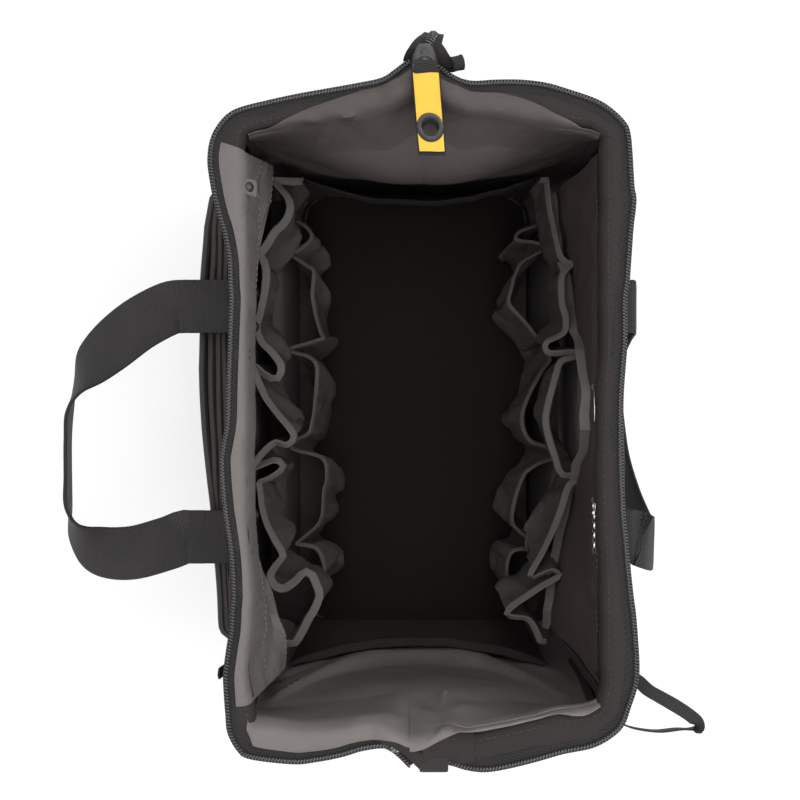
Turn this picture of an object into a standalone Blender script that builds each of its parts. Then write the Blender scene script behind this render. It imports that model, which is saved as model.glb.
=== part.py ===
"""Wide-mouth tool bag, open: cloth shell on a stiff base, two-part steel mouth frame, zip, pockets, handles.

Metres, +Z up. X runs across the bag, +Y to its back end, and the origin is the middle of the flat base.
"""
import math

import bmesh
import bpy
from mathutils import Matrix, Vector

# Shell
BASE_HALF_WIDTH = 0.115
BASE_HALF_LENGTH = 0.212
BASE_CORNER_RADIUS = 0.030
RIM_HALF_WIDTH = 0.123
RIM_BACK_MIDDLE = 0.206
RIM_BACK_CORNER = 0.186
RIM_FRONT_MIDDLE = 0.2125
RIM_FRONT_CORNER = 0.2085
RIM_CORNER_RADIUS = 0.018
ROD_HEIGHT = 0.2865
WALL_DROP = 0.0095
SIDE_BULGE = 0.0135
PANEL_THICKNESS = 0.003
LINING_THICKNESS = 0.0015
LAYER_GAP = 0.0004
SEAM_GAP = 0.0006
BASE_THICKNESS = 0.003
BOARD_THICKNESS = 0.003
BOARD_GAP = 0.0008
FLOOR_THICKNESS = 0.001
WALL_LEVEL_SHARES = [0, 0.2, 0.42, 0.6, 0.73, 0.82, 0.9, 0.96, 1]
SIDE_LEVEL_SHARES = [0, 0.13, 0.27, 0.41, 0.55, 0.686, 0.79, 0.9, 1]

# Ends that sink in under the mouth when it stands open
BACK_SINK = 0.042
FRONT_SINK = 0.014
SINK_START = 0.060
SINK_TOP_SHARE = 3
SINK_END_SHARE = 0.45
SINK_ROUND_SHARE = 1.5

# Low pocket inside each end
BACK_POCKET_TOP = 0.102
FRONT_POCKET_TOP = 0.125
END_POCKET_BOTTOM = 0.009
END_POCKET_HALF_WIDTH = 0.088
BACK_POCKET_BOW = 0.024
FRONT_POCKET_BOW = 0.0105
POCKET_THICKNESS = 0.0014
END_POCKET_LEVEL_SHARES = [0, 0.3, 0.6, 0.85, 1]
BOW_GROWTH_SHARE = 1.3

# Rows of gathered pockets on the side walls
UPPER_ROW_BOTTOM = 0.104
UPPER_ROW_TOP = 0.174
UPPER_ROW_HALF_LENGTH = 0.172
UPPER_ROW_COUNT = 5
UPPER_STANDOFF = 0.027
LOWER_ROW_BOTTOM = 0.012
LOWER_ROW_TOP = 0.098
LOWER_ROW_HALF_LENGTH = 0.150
LOWER_ROW_COUNT = 4
LOWER_STANDOFF = 0.032
ROW_LEVEL_SHARES = [0, 0.14, 0.45, 1]
ROW_CLOSE_SHARE = 0.34

# Zipped pocket on the right wall
ZIP_POCKET_HALF_LENGTH = 0.168
ZIP_POCKET_BOTTOM = 0.101
ZIP_POCKET_DROP = 0.004
ZIP_LINE_DROP = 0.015
ZIP_SLOT = 0.0036
ZIP_POCKET_STANDOFF = 0.0030
ZIP_POCKET_RISE_SHARE = 2.2
FINE_COIL_RADIUS = 0.0013
COIL_GAP = 0.0003
SLIDER_LENGTH = 0.009
SLIDER_WALL = 0.001
FIRST_SLIDER_Y = 0.016
SECOND_SLIDER_Y = -0.058
EYE_OUTER = 0.0016
EYE_BORE = 0.0009
EYE_PIN = 0.0006
EYE_HEIGHT = 0.0026
PULL_LENGTH = 0.023
PULL_THICKNESS = 0.0008
PULL_SHAPE_SHARES = [(0.04, 0.45), (0.35, 0.45), (0.6, 1), (0.95, 1), (1, 0.5)]
EAR_THICKNESS = 0.0008

# Mouth frame
ROD_RADIUS = 0.0025
ROD_INSET = 0.0055
HINGE_HALF_GAP = 0.018
ROD_EYE_RADIUS = 0.0046
ROD_EYE_THICKNESS = 0.0054
STUD_RADIUS = 0.0015
STUD_CLEARANCE = 0.0003
STUD_HEAD_RADIUS = 0.0032
STUD_HEAD_THICKNESS = 0.0012
LINK_THICKNESS = 0.0015
LINK_HALF_HEIGHT = 0.0045
TOUCH_GAP = 0.0003
HEM_THICKNESS = 0.001
HEM_DROP = 0.009
HEM_START = 0.0065
TAPE_THICKNESS = 0.001
TAPE_REACH = 0.0074
COIL_RADIUS = 0.0015
BRIDGE_HALF_WIDTH = 0.009

# Main zip at the back end, and its pull
TAIL_THICKNESS = 0.0015
TAIL_HALF_WIDTH = 0.013
TAIL_REACH = 0.034
TAIL_DROP = 0.032
TAIL_SHARES = [(0.72, 0, 1), (0.93, 0.18, 1), (1, 0.5, 1), (1, 1, 0.9)]
MAIN_SLIDER_LENGTH = 0.015
MAIN_SLIDER_HALF_WIDTH = 0.0065
MAIN_SLIDER_HEIGHT = 0.0058
MAIN_SLIDER_SHARES = [(0, 0.75, 0.8), (0.15, 1, 1), (0.6, 0.95, 1), (1, 0.6, 0.75)]
MAIN_PIN_RADIUS = 0.0011
MAIN_PIN_HEIGHT = 0.0029
MAIN_EAR_THICKNESS = 0.0015
EAR_TIP_SHARE = 0.9
EAR_TOP_SHARE = 1.6
STRAP_HALF_WIDTH = 0.0084
STRAP_EYE_HALF_WIDTH = 0.0044
STRAP_EYE_RADIUS = 0.0022
STRAP_LENGTH = 0.058
STRAP_THICKNESS = 0.0016
SHOULDER_SHARE = 2.2
SHOULDER_SLOPE_SHARE = 1.7
LABEL_THICKNESS = 0.0012
LABEL_LENGTH = 0.051
LABEL_MARGIN = 0.0006
STRAP_SLOPE_DEG = 24
EYELET_FROM_END = 0.0165
EYELET_FLANGE_RADIUS = 0.0079
EYELET_BARREL_RADIUS = 0.0062
EYELET_BORE_RADIUS = 0.0051
EYELET_FLANGE_THICKNESS = 0.0009
HANG_LOOP_RADIUS = 0.0046
HANG_LOOP_THICKNESS = 0.0012
HANG_LOOP_HALF_WIDTH = 0.003

# Tabs
FRONT_TAB_HALF_WIDTH = 0.0088
FRONT_TAB_THICKNESS = 0.0022
FRONT_TAB_RISE = 0.005
FRONT_TAB_LENGTH = 0.0395

# Outer slip pockets
OUTER_POCKET_BOTTOM = 0.030
OUTER_POCKET_TOP = 0.195
OUTER_POCKET_HALF_LENGTH = 0.156
LEFT_OUTER_STANDOFF = 0.027
RIGHT_OUTER_STANDOFF = 0.014
OUTER_POCKET_THICKNESS = 0.002
OUTER_LEVEL_SHARES = [0, 0.08, 0.22, 0.45, 0.72, 1]
OUTER_CLOSE_SHARE = 0.5
OUTER_EDGE_SHARES = [0, 0.3, 0.65, 1]
OUTER_SIDE_RUN = 0.014

# Handles
WEBBING_WIDTH = 0.038
WEBBING_THICKNESS = 0.0026
BACK_ARM_Y = 0.0745
FRONT_ARM_Y = -0.0905
ANCHOR_BOTTOM = 0.160
ANCHOR_HEIGHT = 0.2125
ANCHOR_BEND_RADIUS = 0.008
RIVET_HEIGHT = 0.190
RIVET_HALF_SPACING = 0.0125
RIVET_RADIUS = 0.002
RIVET_CLEARANCE = 0.0003
RIVET_HEAD_RADIUS = 0.0046
RIVET_HEAD_THICKNESS = 0.0014
RIVET_CAP_RADIUS = 0.0042
RIVET_FLAT_SHARE = 0.6
HANDLE_REACH = 0.092
RIGHT_HANDLE_REACH = 0.030
RIGHT_HANDLE_HANG = 0.095

# Each row: outward, along (1 is the back arm, -1 the front arm) and upward shares, then the same three
# shares for the direction of the webbing's width.
LEFT_HANDLE_SHARES = [
    (0, 1, 0, 0, 1, 0),
    (0.04, 1, 0, 0, 1, 0),
    (0.08, 1, 0, 0, 1, 0),
    (0.2, 0.98, 0.01, 0, 1, 0),
    (0.42, 0.85, 0.02, 0.25, 1, 0),
    (0.62, 0.68, 0, 0.5, 1, -0.1),
    (0.8, 0.5, -0.04, 0.7, 0.8, -0.5),
    (0.92, 0.31, -0.08, 0.5, 0.3, -1),
    (0.985, 0.1, -0.1, 0.3, 0, -1),
    (1, -0.15, -0.1, 0.3, 0, -1),
    (1, -0.45, -0.1, 0.3, 0, -1),
    (0.995, -0.74, -0.1, 0.3, -0.1, -1),
    (0.93, -0.98, -0.08, 0.5, -0.5, -0.8),
    (0.76, -1.12, -0.03, 0.3, -1, -0.3),
    (0.5, -1.14, 0.01, 0, -1, 0),
    (0.22, -1.06, 0.01, 0, -1, 0),
    (0.08, -1, 0, 0, -1, 0),
    (0.04, -1, 0, 0, -1, 0),
    (0, -1, 0, 0, -1, 0),
]
RIGHT_HANDLE_SHARES = [
    (0, 1, 0, 0, 1, 0),
    (0.05, 1, 0, 0, 1, 0),
    (0.1, 1, 0, 0, 1, 0),
    (0.2, 0.99, -0.1, 0, 1, 0),
    (0.26, 0.92, -0.36, 0, 1, -0.15),
    (0.3, 0.72, -0.7, 0, 0.8, -0.6),
    (0.42, 0.38, -0.93, 0, 0.3, -1),
    (0.54, 0, -1, 0, 0, -1),
    (0.68, -0.42, -0.97, 0, -0.1, -1),
    (0.82, -0.82, -0.8, 0, -0.7, -0.7),
    (0.86, -1.06, -0.5, 0, -1, -0.3),
    (0.74, -1.1, -0.2, 0, -1, -0.1),
    (0.42, -1.05, -0.03, 0, -1, 0),
    (0.2, -1.01, -0.03, 0, -1, 0),
    (0.1, -1, 0, 0, -1, 0),
    (0.05, -1, 0, 0, -1, 0),
    (0, -1, 0, 0, -1, 0),
]

# Thin loop at the front right corner
THIN_LOOP_REACH = 0.066
THIN_LOOP_WIDTH = 0.009
THIN_LOOP_THICKNESS = 0.0012
THIN_LOOP_DROP = 0.041
THIN_LOOP_SPREAD = 0.040
THIN_LOOP_START_Y = -0.172
THIN_LOOP_SEAT = 0.0021
THIN_LOOP_SHARES = [
    (0, 0, 0, 0.3, 0.2, 1),
    (0.3, -0.3, 0.02, 0.6, 0.9, 0.5),
    (0.62, -0.55, -0.02, 0.5, 1, 0.2),
    (0.93, -0.82, -0.08, 0.5, 1, 0.2),
    (1.02, -1, -0.14, -0.6, 1, 0.5),
    (0.9, -1.1, -0.18, -0.2, 0.3, 1),
    (0.6, -1.12, -0.17, 0, 0.2, 1),
    (0.3, -1.06, -0.13, 0, 0.1, 1),
    (-0.09, -0.77, -0.1, 0.2, 0.2, 1),
]

# Faceting
END_STEPS = 5
ARC_STEPS = 3
SIDE_STEPS = 3
POCKET_STEPS = 5
ROUND_SIDES = 12
EYELET_SIDES = 18
RIVET_SIDES = 10
SHARP_ANGLE_DEG = 35
MITRE_LIMIT_SHARE = 0.5
ROUND_END_SHARES = [0.92, 0.64, 0.32]
TUBE_SIDES = 8

BACK = 1
FRONT = -1
LEFT = -1
RIGHT = 1
LINING_INSET = PANEL_THICKNESS + LAYER_GAP
LINED_INSET = LINING_INSET + LINING_THICKNESS
INNER_INSET = LINED_INSET + LAYER_GAP
WALL_BOTTOM = BASE_THICKNESS + TOUCH_GAP
WALL_TOP = ROD_HEIGHT - WALL_DROP
ZIP_LINE = WALL_TOP - ZIP_LINE_DROP
ZIP_POCKET_TOP = WALL_TOP - ZIP_POCKET_DROP
FRONT_TAB_TOP = ROD_HEIGHT + FRONT_TAB_RISE
FRONT_TAB_BOTTOM = FRONT_TAB_TOP - FRONT_TAB_LENGTH
THIN_LOOP_HEIGHT = WALL_TOP - THIN_LOOP_DROP


def start_scene():
    for old in list(bpy.data.objects):
        bpy.data.objects.remove(old, do_unlink=True)


def finish_of(name, colour, roughness, metallic=0.0):
    """One Principled material for each sub-part."""
    finish = bpy.data.materials.new(name + "_finish")
    finish.use_nodes = True
    shader = finish.node_tree.nodes["Principled BSDF"]
    shader.inputs["Base Color"].default_value = (*colour, 1)
    shader.inputs["Roughness"].default_value = roughness
    shader.inputs["Metallic"].default_value = metallic
    return finish


BLACK_CLOTH = ((0.030, 0.026, 0.027), 0.85)
DARK_CLOTH = ((0.022, 0.019, 0.020), 0.85)
GREY_CLOTH = ((0.130, 0.118, 0.108), 0.75)
BLACK_WEBBING = ((0.020, 0.018, 0.019), 0.7)
YELLOW_LABEL = ((0.95, 0.58, 0.06), 0.6)
BLACK_METAL = ((0.035, 0.033, 0.035), 0.35, 0.9)
SILVER_METAL = ((0.60, 0.58, 0.56), 0.3, 1.0)
STEEL = ((0.42, 0.41, 0.40), 0.35, 1.0)
BOARD = ((0.060, 0.050, 0.045), 0.8)
COIL_BLACK = ((0.028, 0.028, 0.030), 0.35)


def place(name, verts, faces, look):
    """A named object from its points and faces, with outward normals."""
    mesh = bpy.data.meshes.new(name)
    mesh.from_pydata([tuple(v) for v in verts], [], faces)
    work = bmesh.new()
    work.from_mesh(mesh)
    bmesh.ops.recalc_face_normals(work, faces=work.faces[:])
    work.to_mesh(mesh)
    work.free()
    mesh.shade_smooth()
    mesh.set_sharp_from_angle(angle=math.radians(SHARP_ANGLE_DEG))
    mesh.materials.append(finish_of(name, *look))
    piece = bpy.data.objects.new(name, mesh)
    bpy.context.collection.objects.link(piece)
    return piece


def grid_solid(name, outer, inner, look):
    """A closed solid between two grids of points, both cut along the same diagonals, so layers nest."""
    rows = len(outer)
    columns = len(outer[0])
    verts = [p for row in outer for p in row] + [p for row in inner for p in row]
    shift = rows * columns

    def at(side, row, column):
        return side * shift + row * columns + column

    faces = []
    for side in (0, 1):
        for row in range(rows - 1):
            for column in range(columns - 1):
                low = [at(side, row, column), at(side, row, column + 1), at(side, row + 1, column + 1)]
                high = [at(side, row, column), at(side, row + 1, column + 1), at(side, row + 1, column)]
                faces += [low, high] if side == 0 else [low[::-1], high[::-1]]
    border = [(0, c) for c in range(columns)] + [(r, columns - 1) for r in range(1, rows)]
    border += [(rows - 1, c) for c in range(columns - 2, -1, -1)] + [(r, 0) for r in range(rows - 2, 0, -1)]
    for here, there in zip(border, border[1:] + border[:1]):
        faces.append([at(0, *here), at(1, *here), at(1, *there), at(0, *there)])
    return place(name, verts, faces, look)


def ring_solid(name, rings, look):
    """A closed solid through rings of points, with flat ends."""
    count = len(rings[0])
    verts = [p for ring in rings for p in ring]
    faces = [list(range(count))[::-1]]
    for step in range(len(rings) - 1):
        for corner in range(count):
            following = (corner + 1) % count
            low = step * count
            high = low + count
            faces.append([low + corner, low + following, high + following, high + corner])
    last = (len(rings) - 1) * count
    faces.append([last + corner for corner in range(count)])
    return place(name, verts, faces, look)


def circle(radius, sides):
    return [(radius * math.cos(2 * math.pi * k / sides), radius * math.sin(2 * math.pi * k / sides))
            for k in range(sides)]


def blend_between(low, high, share):
    return low + (high - low) * share


# Shell outline

def height_share(z):
    return min(z / WALL_TOP, 1)


def half_width(z):
    share = height_share(z)
    return blend_between(BASE_HALF_WIDTH, RIM_HALF_WIDTH, share) + SIDE_BULGE * math.sin(math.pi * share)


def end_line(z, end):
    """Middle point and corner point of an end at this height, as distances from the bag's middle."""
    middle = RIM_BACK_MIDDLE if end == BACK else RIM_FRONT_MIDDLE
    corner = RIM_BACK_CORNER if end == BACK else RIM_FRONT_CORNER
    share = height_share(z)
    return blend_between(BASE_HALF_LENGTH, middle, share), blend_between(BASE_HALF_LENGTH, corner, share)


def corner_radius(z):
    return blend_between(BASE_CORNER_RADIUS, RIM_CORNER_RADIUS, height_share(z))


def end_normal(z, end):
    middle, corner = end_line(z, end)
    along = Vector((half_width(z), corner - middle)).normalized()
    return Vector((-along.y, along.x))


def end_y(z, end, inset, x):
    """Distance of the end's straight line from the bag's middle, this far in and to the side."""
    middle, _ = end_line(z, end)
    normal = end_normal(z, end)
    return middle - (inset + normal.x * abs(x)) / normal.y


def corner_centre(z, end):
    x = half_width(z) - corner_radius(z)
    return Vector((x, end_y(z, end, corner_radius(z), x)))


def corner_point(z, end, inset, angle):
    centre = corner_centre(z, end)
    reach = corner_radius(z) - inset
    return Vector((centre.x + reach * math.cos(angle), centre.y + reach * math.sin(angle)))


def end_half(z, end, inset):
    """Points from the middle of an end to the corner seam, for positive x and y."""
    normal = end_normal(z, end)
    first = math.atan2(normal.y, normal.x)
    seam = first / 2 + SEAM_GAP / (2 * corner_radius(z))
    turn = corner_point(z, end, inset, first)
    points = [Vector((turn.x * k / END_STEPS, end_y(z, end, inset, turn.x * k / END_STEPS)))
              for k in range(END_STEPS)]
    return points + [corner_point(z, end, inset, blend_between(first, seam, k / ARC_STEPS))
                     for k in range(ARC_STEPS + 1)]


def side_half(z, end, inset):
    """Points from the corner seam to the straight side, for positive x and y."""
    normal = end_normal(z, end)
    seam = math.atan2(normal.y, normal.x) / 2 - SEAM_GAP / (2 * corner_radius(z))
    return [corner_point(z, end, inset, blend_between(seam, 0, k / ARC_STEPS)) for k in range(ARC_STEPS + 1)]


def sink(z, end, x):
    """How far an end sinks in: most just under the mouth, nothing at the corners and at the rim."""
    if z <= SINK_START or z >= WALL_TOP:
        return 0
    depth = BACK_SINK if end == BACK else FRONT_SINK
    share = (z - SINK_START) / (WALL_TOP - SINK_START)
    across = min(abs(x) / (half_width(z) - SINK_END_SHARE * corner_radius(z)), 1)
    fade = math.cos(math.pi / 2 * across) ** SINK_ROUND_SHARE
    return depth * math.sin(math.pi * share ** SINK_TOP_SHARE) * fade


def end_row(z, end, inset):
    half = end_half(z, end, inset)
    row = [Vector((-p.x, p.y)) for p in half[:0:-1]] + half
    return [Vector((p.x, end * (p.y - sink(z, end, p.x)), z)) for p in row]


def side_row(z, side, inset):
    back = side_half(z, BACK, inset)
    front = side_half(z, FRONT, inset)
    straight = [Vector((back[-1].x, blend_between(back[-1].y, -front[-1].y, k / SIDE_STEPS)))
                for k in range(1, SIDE_STEPS)]
    row = back + straight + [Vector((p.x, -p.y)) for p in front[::-1]]
    return [Vector((side * p.x, p.y, z)) for p in row]


def wall_levels(shares):
    return [blend_between(WALL_BOTTOM, WALL_TOP, share) for share in shares]


def end_wall(name, end, near, far, look):
    levels = wall_levels(WALL_LEVEL_SHARES)
    grid_solid(name, [end_row(z, end, near) for z in levels], [end_row(z, end, far) for z in levels], look)


def side_wall(name, side, near, far, look):
    levels = wall_levels(SIDE_LEVEL_SHARES)
    outer = [side_row(z, side, near) for z in levels]
    inner = [side_row(z, side, far) for z in levels]
    return grid_solid(name, outer, inner, look)


def slab(name, inset, bottom, top, look):
    """A flat plate with the outline of the base, this far in."""
    back = end_half(0, BACK, inset) + side_half(0, BACK, inset)
    right = back + [Vector((p.x, -p.y)) for p in back[::-1]]
    outline = right + [Vector((-p.x, p.y)) for p in right[-2:0:-1]]
    ring_solid(name, [[Vector((p.x, p.y, z)) for p in outline] for z in (bottom, top)], look)


# Frame paths

def frame_path(side, inset, start_x):
    """The mouth's outline from the back hinge round one side to the front hinge, in plan."""
    def half(end):
        normal = end_normal(WALL_TOP, end)
        first = math.atan2(normal.y, normal.x)
        points = [Vector((start_x, end_y(WALL_TOP, end, inset, start_x)))]
        return points + [corner_point(WALL_TOP, end, inset, first * (1 - k / (2 * ARC_STEPS)))
                         for k in range(2 * ARC_STEPS + 1)]
    path = half(BACK) + [Vector((p.x, -p.y)) for p in half(FRONT)[::-1]]
    return [Vector((side * p.x, p.y)) for p in path]


def sweep(name, path, height, profile, look):
    """Carry a profile of outward and upward distances along a level path."""
    rings = []
    middle = Vector((0, 0))
    for k, point in enumerate(path):
        before = (point - path[k - 1]).normalized() if k else None
        after = (path[k + 1] - point).normalized() if k < len(path) - 1 else None
        along = before or after
        if before and after:
            along = (before + after).normalized()
        normal = Vector((along.y, -along.x))
        if normal.dot(point - middle) < 0:
            normal = -normal
        stretch = 1 / max(abs(along.dot(after or before)), MITRE_LIMIT_SHARE)
        rings.append([Vector((*(point + normal * out * stretch), height + up)) for out, up in profile])
    return ring_solid(name, rings, look)


def channel(half_width_in, top_in, drop, wall):
    """A C-shaped profile, open below."""
    reach = half_width_in + wall
    outside = [(reach, -drop), (reach, top_in + wall), (-reach, top_in + wall), (-reach, -drop)]
    inside = [(-half_width_in, -drop), (-half_width_in, top_in)]
    return outside + inside + [(-x, y) for x, y in inside[::-1]]


def prism(name, outline, axis, low, high, look):
    """Extrude an outline of two coordinates along X or Y."""
    def spot(a, b, c):
        return Vector((c, a, b)) if axis == "X" else Vector((a, c, b))
    return ring_solid(name, [[spot(a, b, c) for a, b in outline] for c in (low, high)], look)


def turned(name, profile, sides, place_at, look):
    """Turn a profile of radius and distance along the axis; place_at(radial, radial, along) gives points."""
    rings = []
    for radius, along in profile:
        rings.append([place_at(a, b, along) for a, b in circle(radius, sides)])
    return ring_solid(name, rings, look)


def set_origin(piece, point, tools=()):
    """Put a piece's origin on its joint axis, with its tools parented to it, without moving anything."""
    piece.data.transform(Matrix.Translation(-point))
    piece.location = point
    for tool in tools:
        tool.parent = piece
        tool.matrix_parent_inverse = Matrix.Translation(-point)


def hide(tool):
    tool.hide_render = True
    tool.display_type = "WIRE"
    return tool


def boolean(piece, operation, tool):
    change = piece.modifiers.new(tool.name, "BOOLEAN")
    change.operation = operation
    change.object = tool
    change.solver = "EXACT"


def give_thickness(piece, thickness, grow):
    """Solidify a surface; grow is 1 along its normals and -1 against them."""
    change = piece.modifiers.new("thickness", "SOLIDIFY")
    change.thickness = thickness
    change.offset = grow
    change.use_even_offset = True


def open_grid(name, rows, towards, look):
    """A surface whose normals point towards a direction."""
    columns = len(rows[0])
    verts = [p for row in rows for p in row]
    faces = []
    for row in range(len(rows) - 1):
        for column in range(columns - 1):
            low = row * columns + column
            high = low + columns
            faces.append([low, low + 1, high + 1, high])
    mesh = bpy.data.meshes.new(name)
    mesh.from_pydata([tuple(v) for v in verts], [], faces)
    total = Vector((0, 0, 0))
    for face in mesh.polygons:
        total += face.normal
    if total.dot(towards) < 0:
        mesh.flip_normals()
    mesh.shade_smooth()
    mesh.materials.append(finish_of(name, *look))
    piece = bpy.data.objects.new(name, mesh)
    bpy.context.collection.objects.link(piece)
    return piece


# Shell, base and lining

def build_shell():
    slab("base_panel", 0, 0, BASE_THICKNESS, BLACK_CLOTH)
    board_bottom = WALL_BOTTOM
    board_top = board_bottom + BOARD_THICKNESS
    slab("base_board", INNER_INSET + BOARD_GAP, board_bottom, board_top, BOARD)
    floor_bottom = board_top + TOUCH_GAP
    slab("floor_lining", INNER_INSET + BOARD_GAP, floor_bottom, floor_bottom + FLOOR_THICKNESS, DARK_CLOTH)
    for end, word in ((BACK, "back"), (FRONT, "front")):
        end_wall(word + "_end_panel", end, 0, PANEL_THICKNESS, BLACK_CLOTH)
        end_wall(word + "_lining", end, LINING_INSET, LINED_INSET, GREY_CLOTH)
    walls = {}
    for side, word in ((LEFT, "left"), (RIGHT, "right")):
        panel = side_wall(word + "_side_panel", side, 0, PANEL_THICKNESS, BLACK_CLOTH)
        lining = side_wall(word + "_lining", side, LINING_INSET, LINED_INSET, GREY_CLOTH)
        walls[side] = [panel, lining]
    return walls


def build_end_pockets():
    """A low panel across each end, sewn at its sides and bottom, its top edge bowed into the bag."""
    back = (BACK, "back", BACK_POCKET_TOP, BACK_POCKET_BOW)
    front = (FRONT, "front", FRONT_POCKET_TOP, FRONT_POCKET_BOW)
    for end, word, top, bow in (back, front):
        rows = []
        for level in END_POCKET_LEVEL_SHARES:
            z = blend_between(END_POCKET_BOTTOM, top, level)
            row = []
            for step in range(-END_STEPS, END_STEPS + 1):
                x = END_POCKET_HALF_WIDTH * step / END_STEPS
                rest = end_y(z, end, INNER_INSET, x) - sink(z, end, x)
                swell = bow * level ** BOW_GROWTH_SHARE * math.cos(math.pi / 2 * step / END_STEPS)
                row.append(Vector((x, end * (rest - swell), z)))
            rows.append(row)
        pocket = open_grid(word + "_end_pocket", rows, Vector((0, -end, 0)), DARK_CLOTH)
        give_thickness(pocket, POCKET_THICKNESS, 1)


def pocket_row(name, side, behind, low, high, half_length, count, standoff, look):
    """One strip of cloth, sewn down between the pouches and along its bottom, open at the top."""
    rows = []
    for level in ROW_LEVEL_SHARES:
        z = blend_between(low, high, level)
        fullness = math.sin(math.pi / 2 * min(1, level / ROW_CLOSE_SHARE))
        row = []
        for step in range(count * POCKET_STEPS + 1):
            y = blend_between(half_length, -half_length, step / (count * POCKET_STEPS))
            swell = math.sin(math.pi * step / POCKET_STEPS) ** 2
            x = half_width(z) - behind - standoff * fullness * swell
            row.append(Vector((side * x, y, z)))
        rows.append(row)
    strip = open_grid(name, rows, Vector((-side, 0, 0)), look)
    give_thickness(strip, POCKET_THICKNESS, 1)


def build_rows():
    panel_inset = INNER_INSET + RIVET_HEAD_THICKNESS + ZIP_POCKET_STANDOFF + POCKET_THICKNESS + LAYER_GAP
    for side, word, behind in ((LEFT, "left", INNER_INSET), (RIGHT, "right", panel_inset)):
        pocket_row(word + "_upper_pockets", side, behind, UPPER_ROW_BOTTOM, UPPER_ROW_TOP,
                   UPPER_ROW_HALF_LENGTH, UPPER_ROW_COUNT, UPPER_STANDOFF, GREY_CLOTH)
        pocket_row(word + "_lower_pockets", side, INNER_INSET, LOWER_ROW_BOTTOM, LOWER_ROW_TOP,
                   LOWER_ROW_HALF_LENGTH, LOWER_ROW_COUNT, LOWER_STANDOFF, DARK_CLOTH)


# Zipped pocket

def zip_pocket_inset(z):
    """The pocket's cloth stands off the lining in its middle and meets it at its top and bottom."""
    share = (z - ZIP_POCKET_BOTTOM) / (ZIP_POCKET_TOP - ZIP_POCKET_BOTTOM)
    rise = min(1, math.sin(math.pi * min(max(share, 0), 1)) * ZIP_POCKET_RISE_SHARE)
    return INNER_INSET + (RIVET_HEAD_THICKNESS + ZIP_POCKET_STANDOFF) * rise


def zip_pocket_sheet(name, low, high, steps, look):
    rows = []
    for step in range(steps + 1):
        z = blend_between(low, high, step / steps)
        x = half_width(z) - zip_pocket_inset(z)
        reach = ZIP_POCKET_HALF_LENGTH
        ys = [blend_between(reach, -reach, k / SIDE_STEPS) for k in range(SIDE_STEPS + 1)]
        rows.append([Vector((x, y, z)) for y in ys])
    sheet = open_grid(name, rows, Vector((-1, 0, 0)), look)
    give_thickness(sheet, POCKET_THICKNESS, 1)


def build_zip_pocket():
    zip_pocket_sheet("zip_pocket_panel", ZIP_POCKET_BOTTOM, ZIP_LINE - ZIP_SLOT / 2, 6, DARK_CLOTH)
    zip_pocket_sheet("zip_pocket_strip", ZIP_LINE + ZIP_SLOT / 2, ZIP_POCKET_TOP, 2, DARK_CLOTH)
    coil_x = half_width(ZIP_LINE) - zip_pocket_inset(ZIP_LINE) - POCKET_THICKNESS / 2
    ends = (ZIP_POCKET_HALF_LENGTH, -ZIP_POCKET_HALF_LENGTH)
    round_band = circle(FINE_COIL_RADIUS, TUBE_SIDES)
    rings = [[Vector((coil_x + a, y, ZIP_LINE + b)) for a, b in round_band] for y in ends]
    ring_solid("fine_zip_coil", rings, COIL_BLACK)
    face = coil_x - FINE_COIL_RADIUS - COIL_GAP
    for word, y in (("first", FIRST_SLIDER_Y), ("second", SECOND_SLIDER_Y)):
        build_pocket_slider(word, y, face)


def build_pocket_slider(word, y, face):
    """A slider plate over the coil with two ears and a pin, and its pull, which turns on the pin."""
    half = SLIDER_LENGTH / 2
    reach = FINE_COIL_RADIUS + COIL_GAP + SLIDER_WALL
    flange = FINE_COIL_RADIUS - POCKET_THICKNESS / 2
    inner = reach - SLIDER_WALL
    back = face - SLIDER_WALL
    outline = [(back, -reach), (face + flange, -reach), (face + flange, -inner), (face, -inner),
               (face, inner), (face + flange, inner), (face + flange, reach), (back, reach)]
    outline = [(a, ZIP_LINE + b) for a, b in outline]
    body = prism(word + "_pocket_slider", outline, "Y", y - half, y + half, BLACK_METAL)
    pin_x = back - EYE_OUTER - COIL_GAP
    ear = EYE_HEIGHT / 2 + COIL_GAP
    tools = []
    for sign, label in ((1, "high"), (-1, "low")):
        low, high = sorted((sign * ear, sign * (ear + EAR_THICKNESS)))
        reach_x = pin_x - EYE_BORE
        rings = []
        for x, wide in ((back + EAR_THICKNESS / 2, EYE_OUTER), (reach_x, EYE_BORE)):
            corners = [(-wide, low), (wide, low), (wide, high), (-wide, high)]
            rings.append([Vector((x, y + k, ZIP_LINE + z)) for k, z in corners])
        ear_tool = ring_solid(word + "_ear_" + label, rings, BLACK_METAL)
        boolean(body, "UNION", hide(ear_tool))
        tools.append(ear_tool)
    pin_top = ear + EAR_THICKNESS / 2
    pin = turned(word + "_ear_pin", [(EYE_PIN, -pin_top), (EYE_PIN, pin_top)], TUBE_SIDES,
                 lambda a, b, along: Vector((pin_x + a, y + b, ZIP_LINE + along)), BLACK_METAL)
    boolean(body, "UNION", hide(pin))
    set_origin(body, Vector((pin_x, y, ZIP_LINE)), tools + [pin])
    build_pocket_pull(word, Vector((pin_x, y, ZIP_LINE)))


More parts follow.
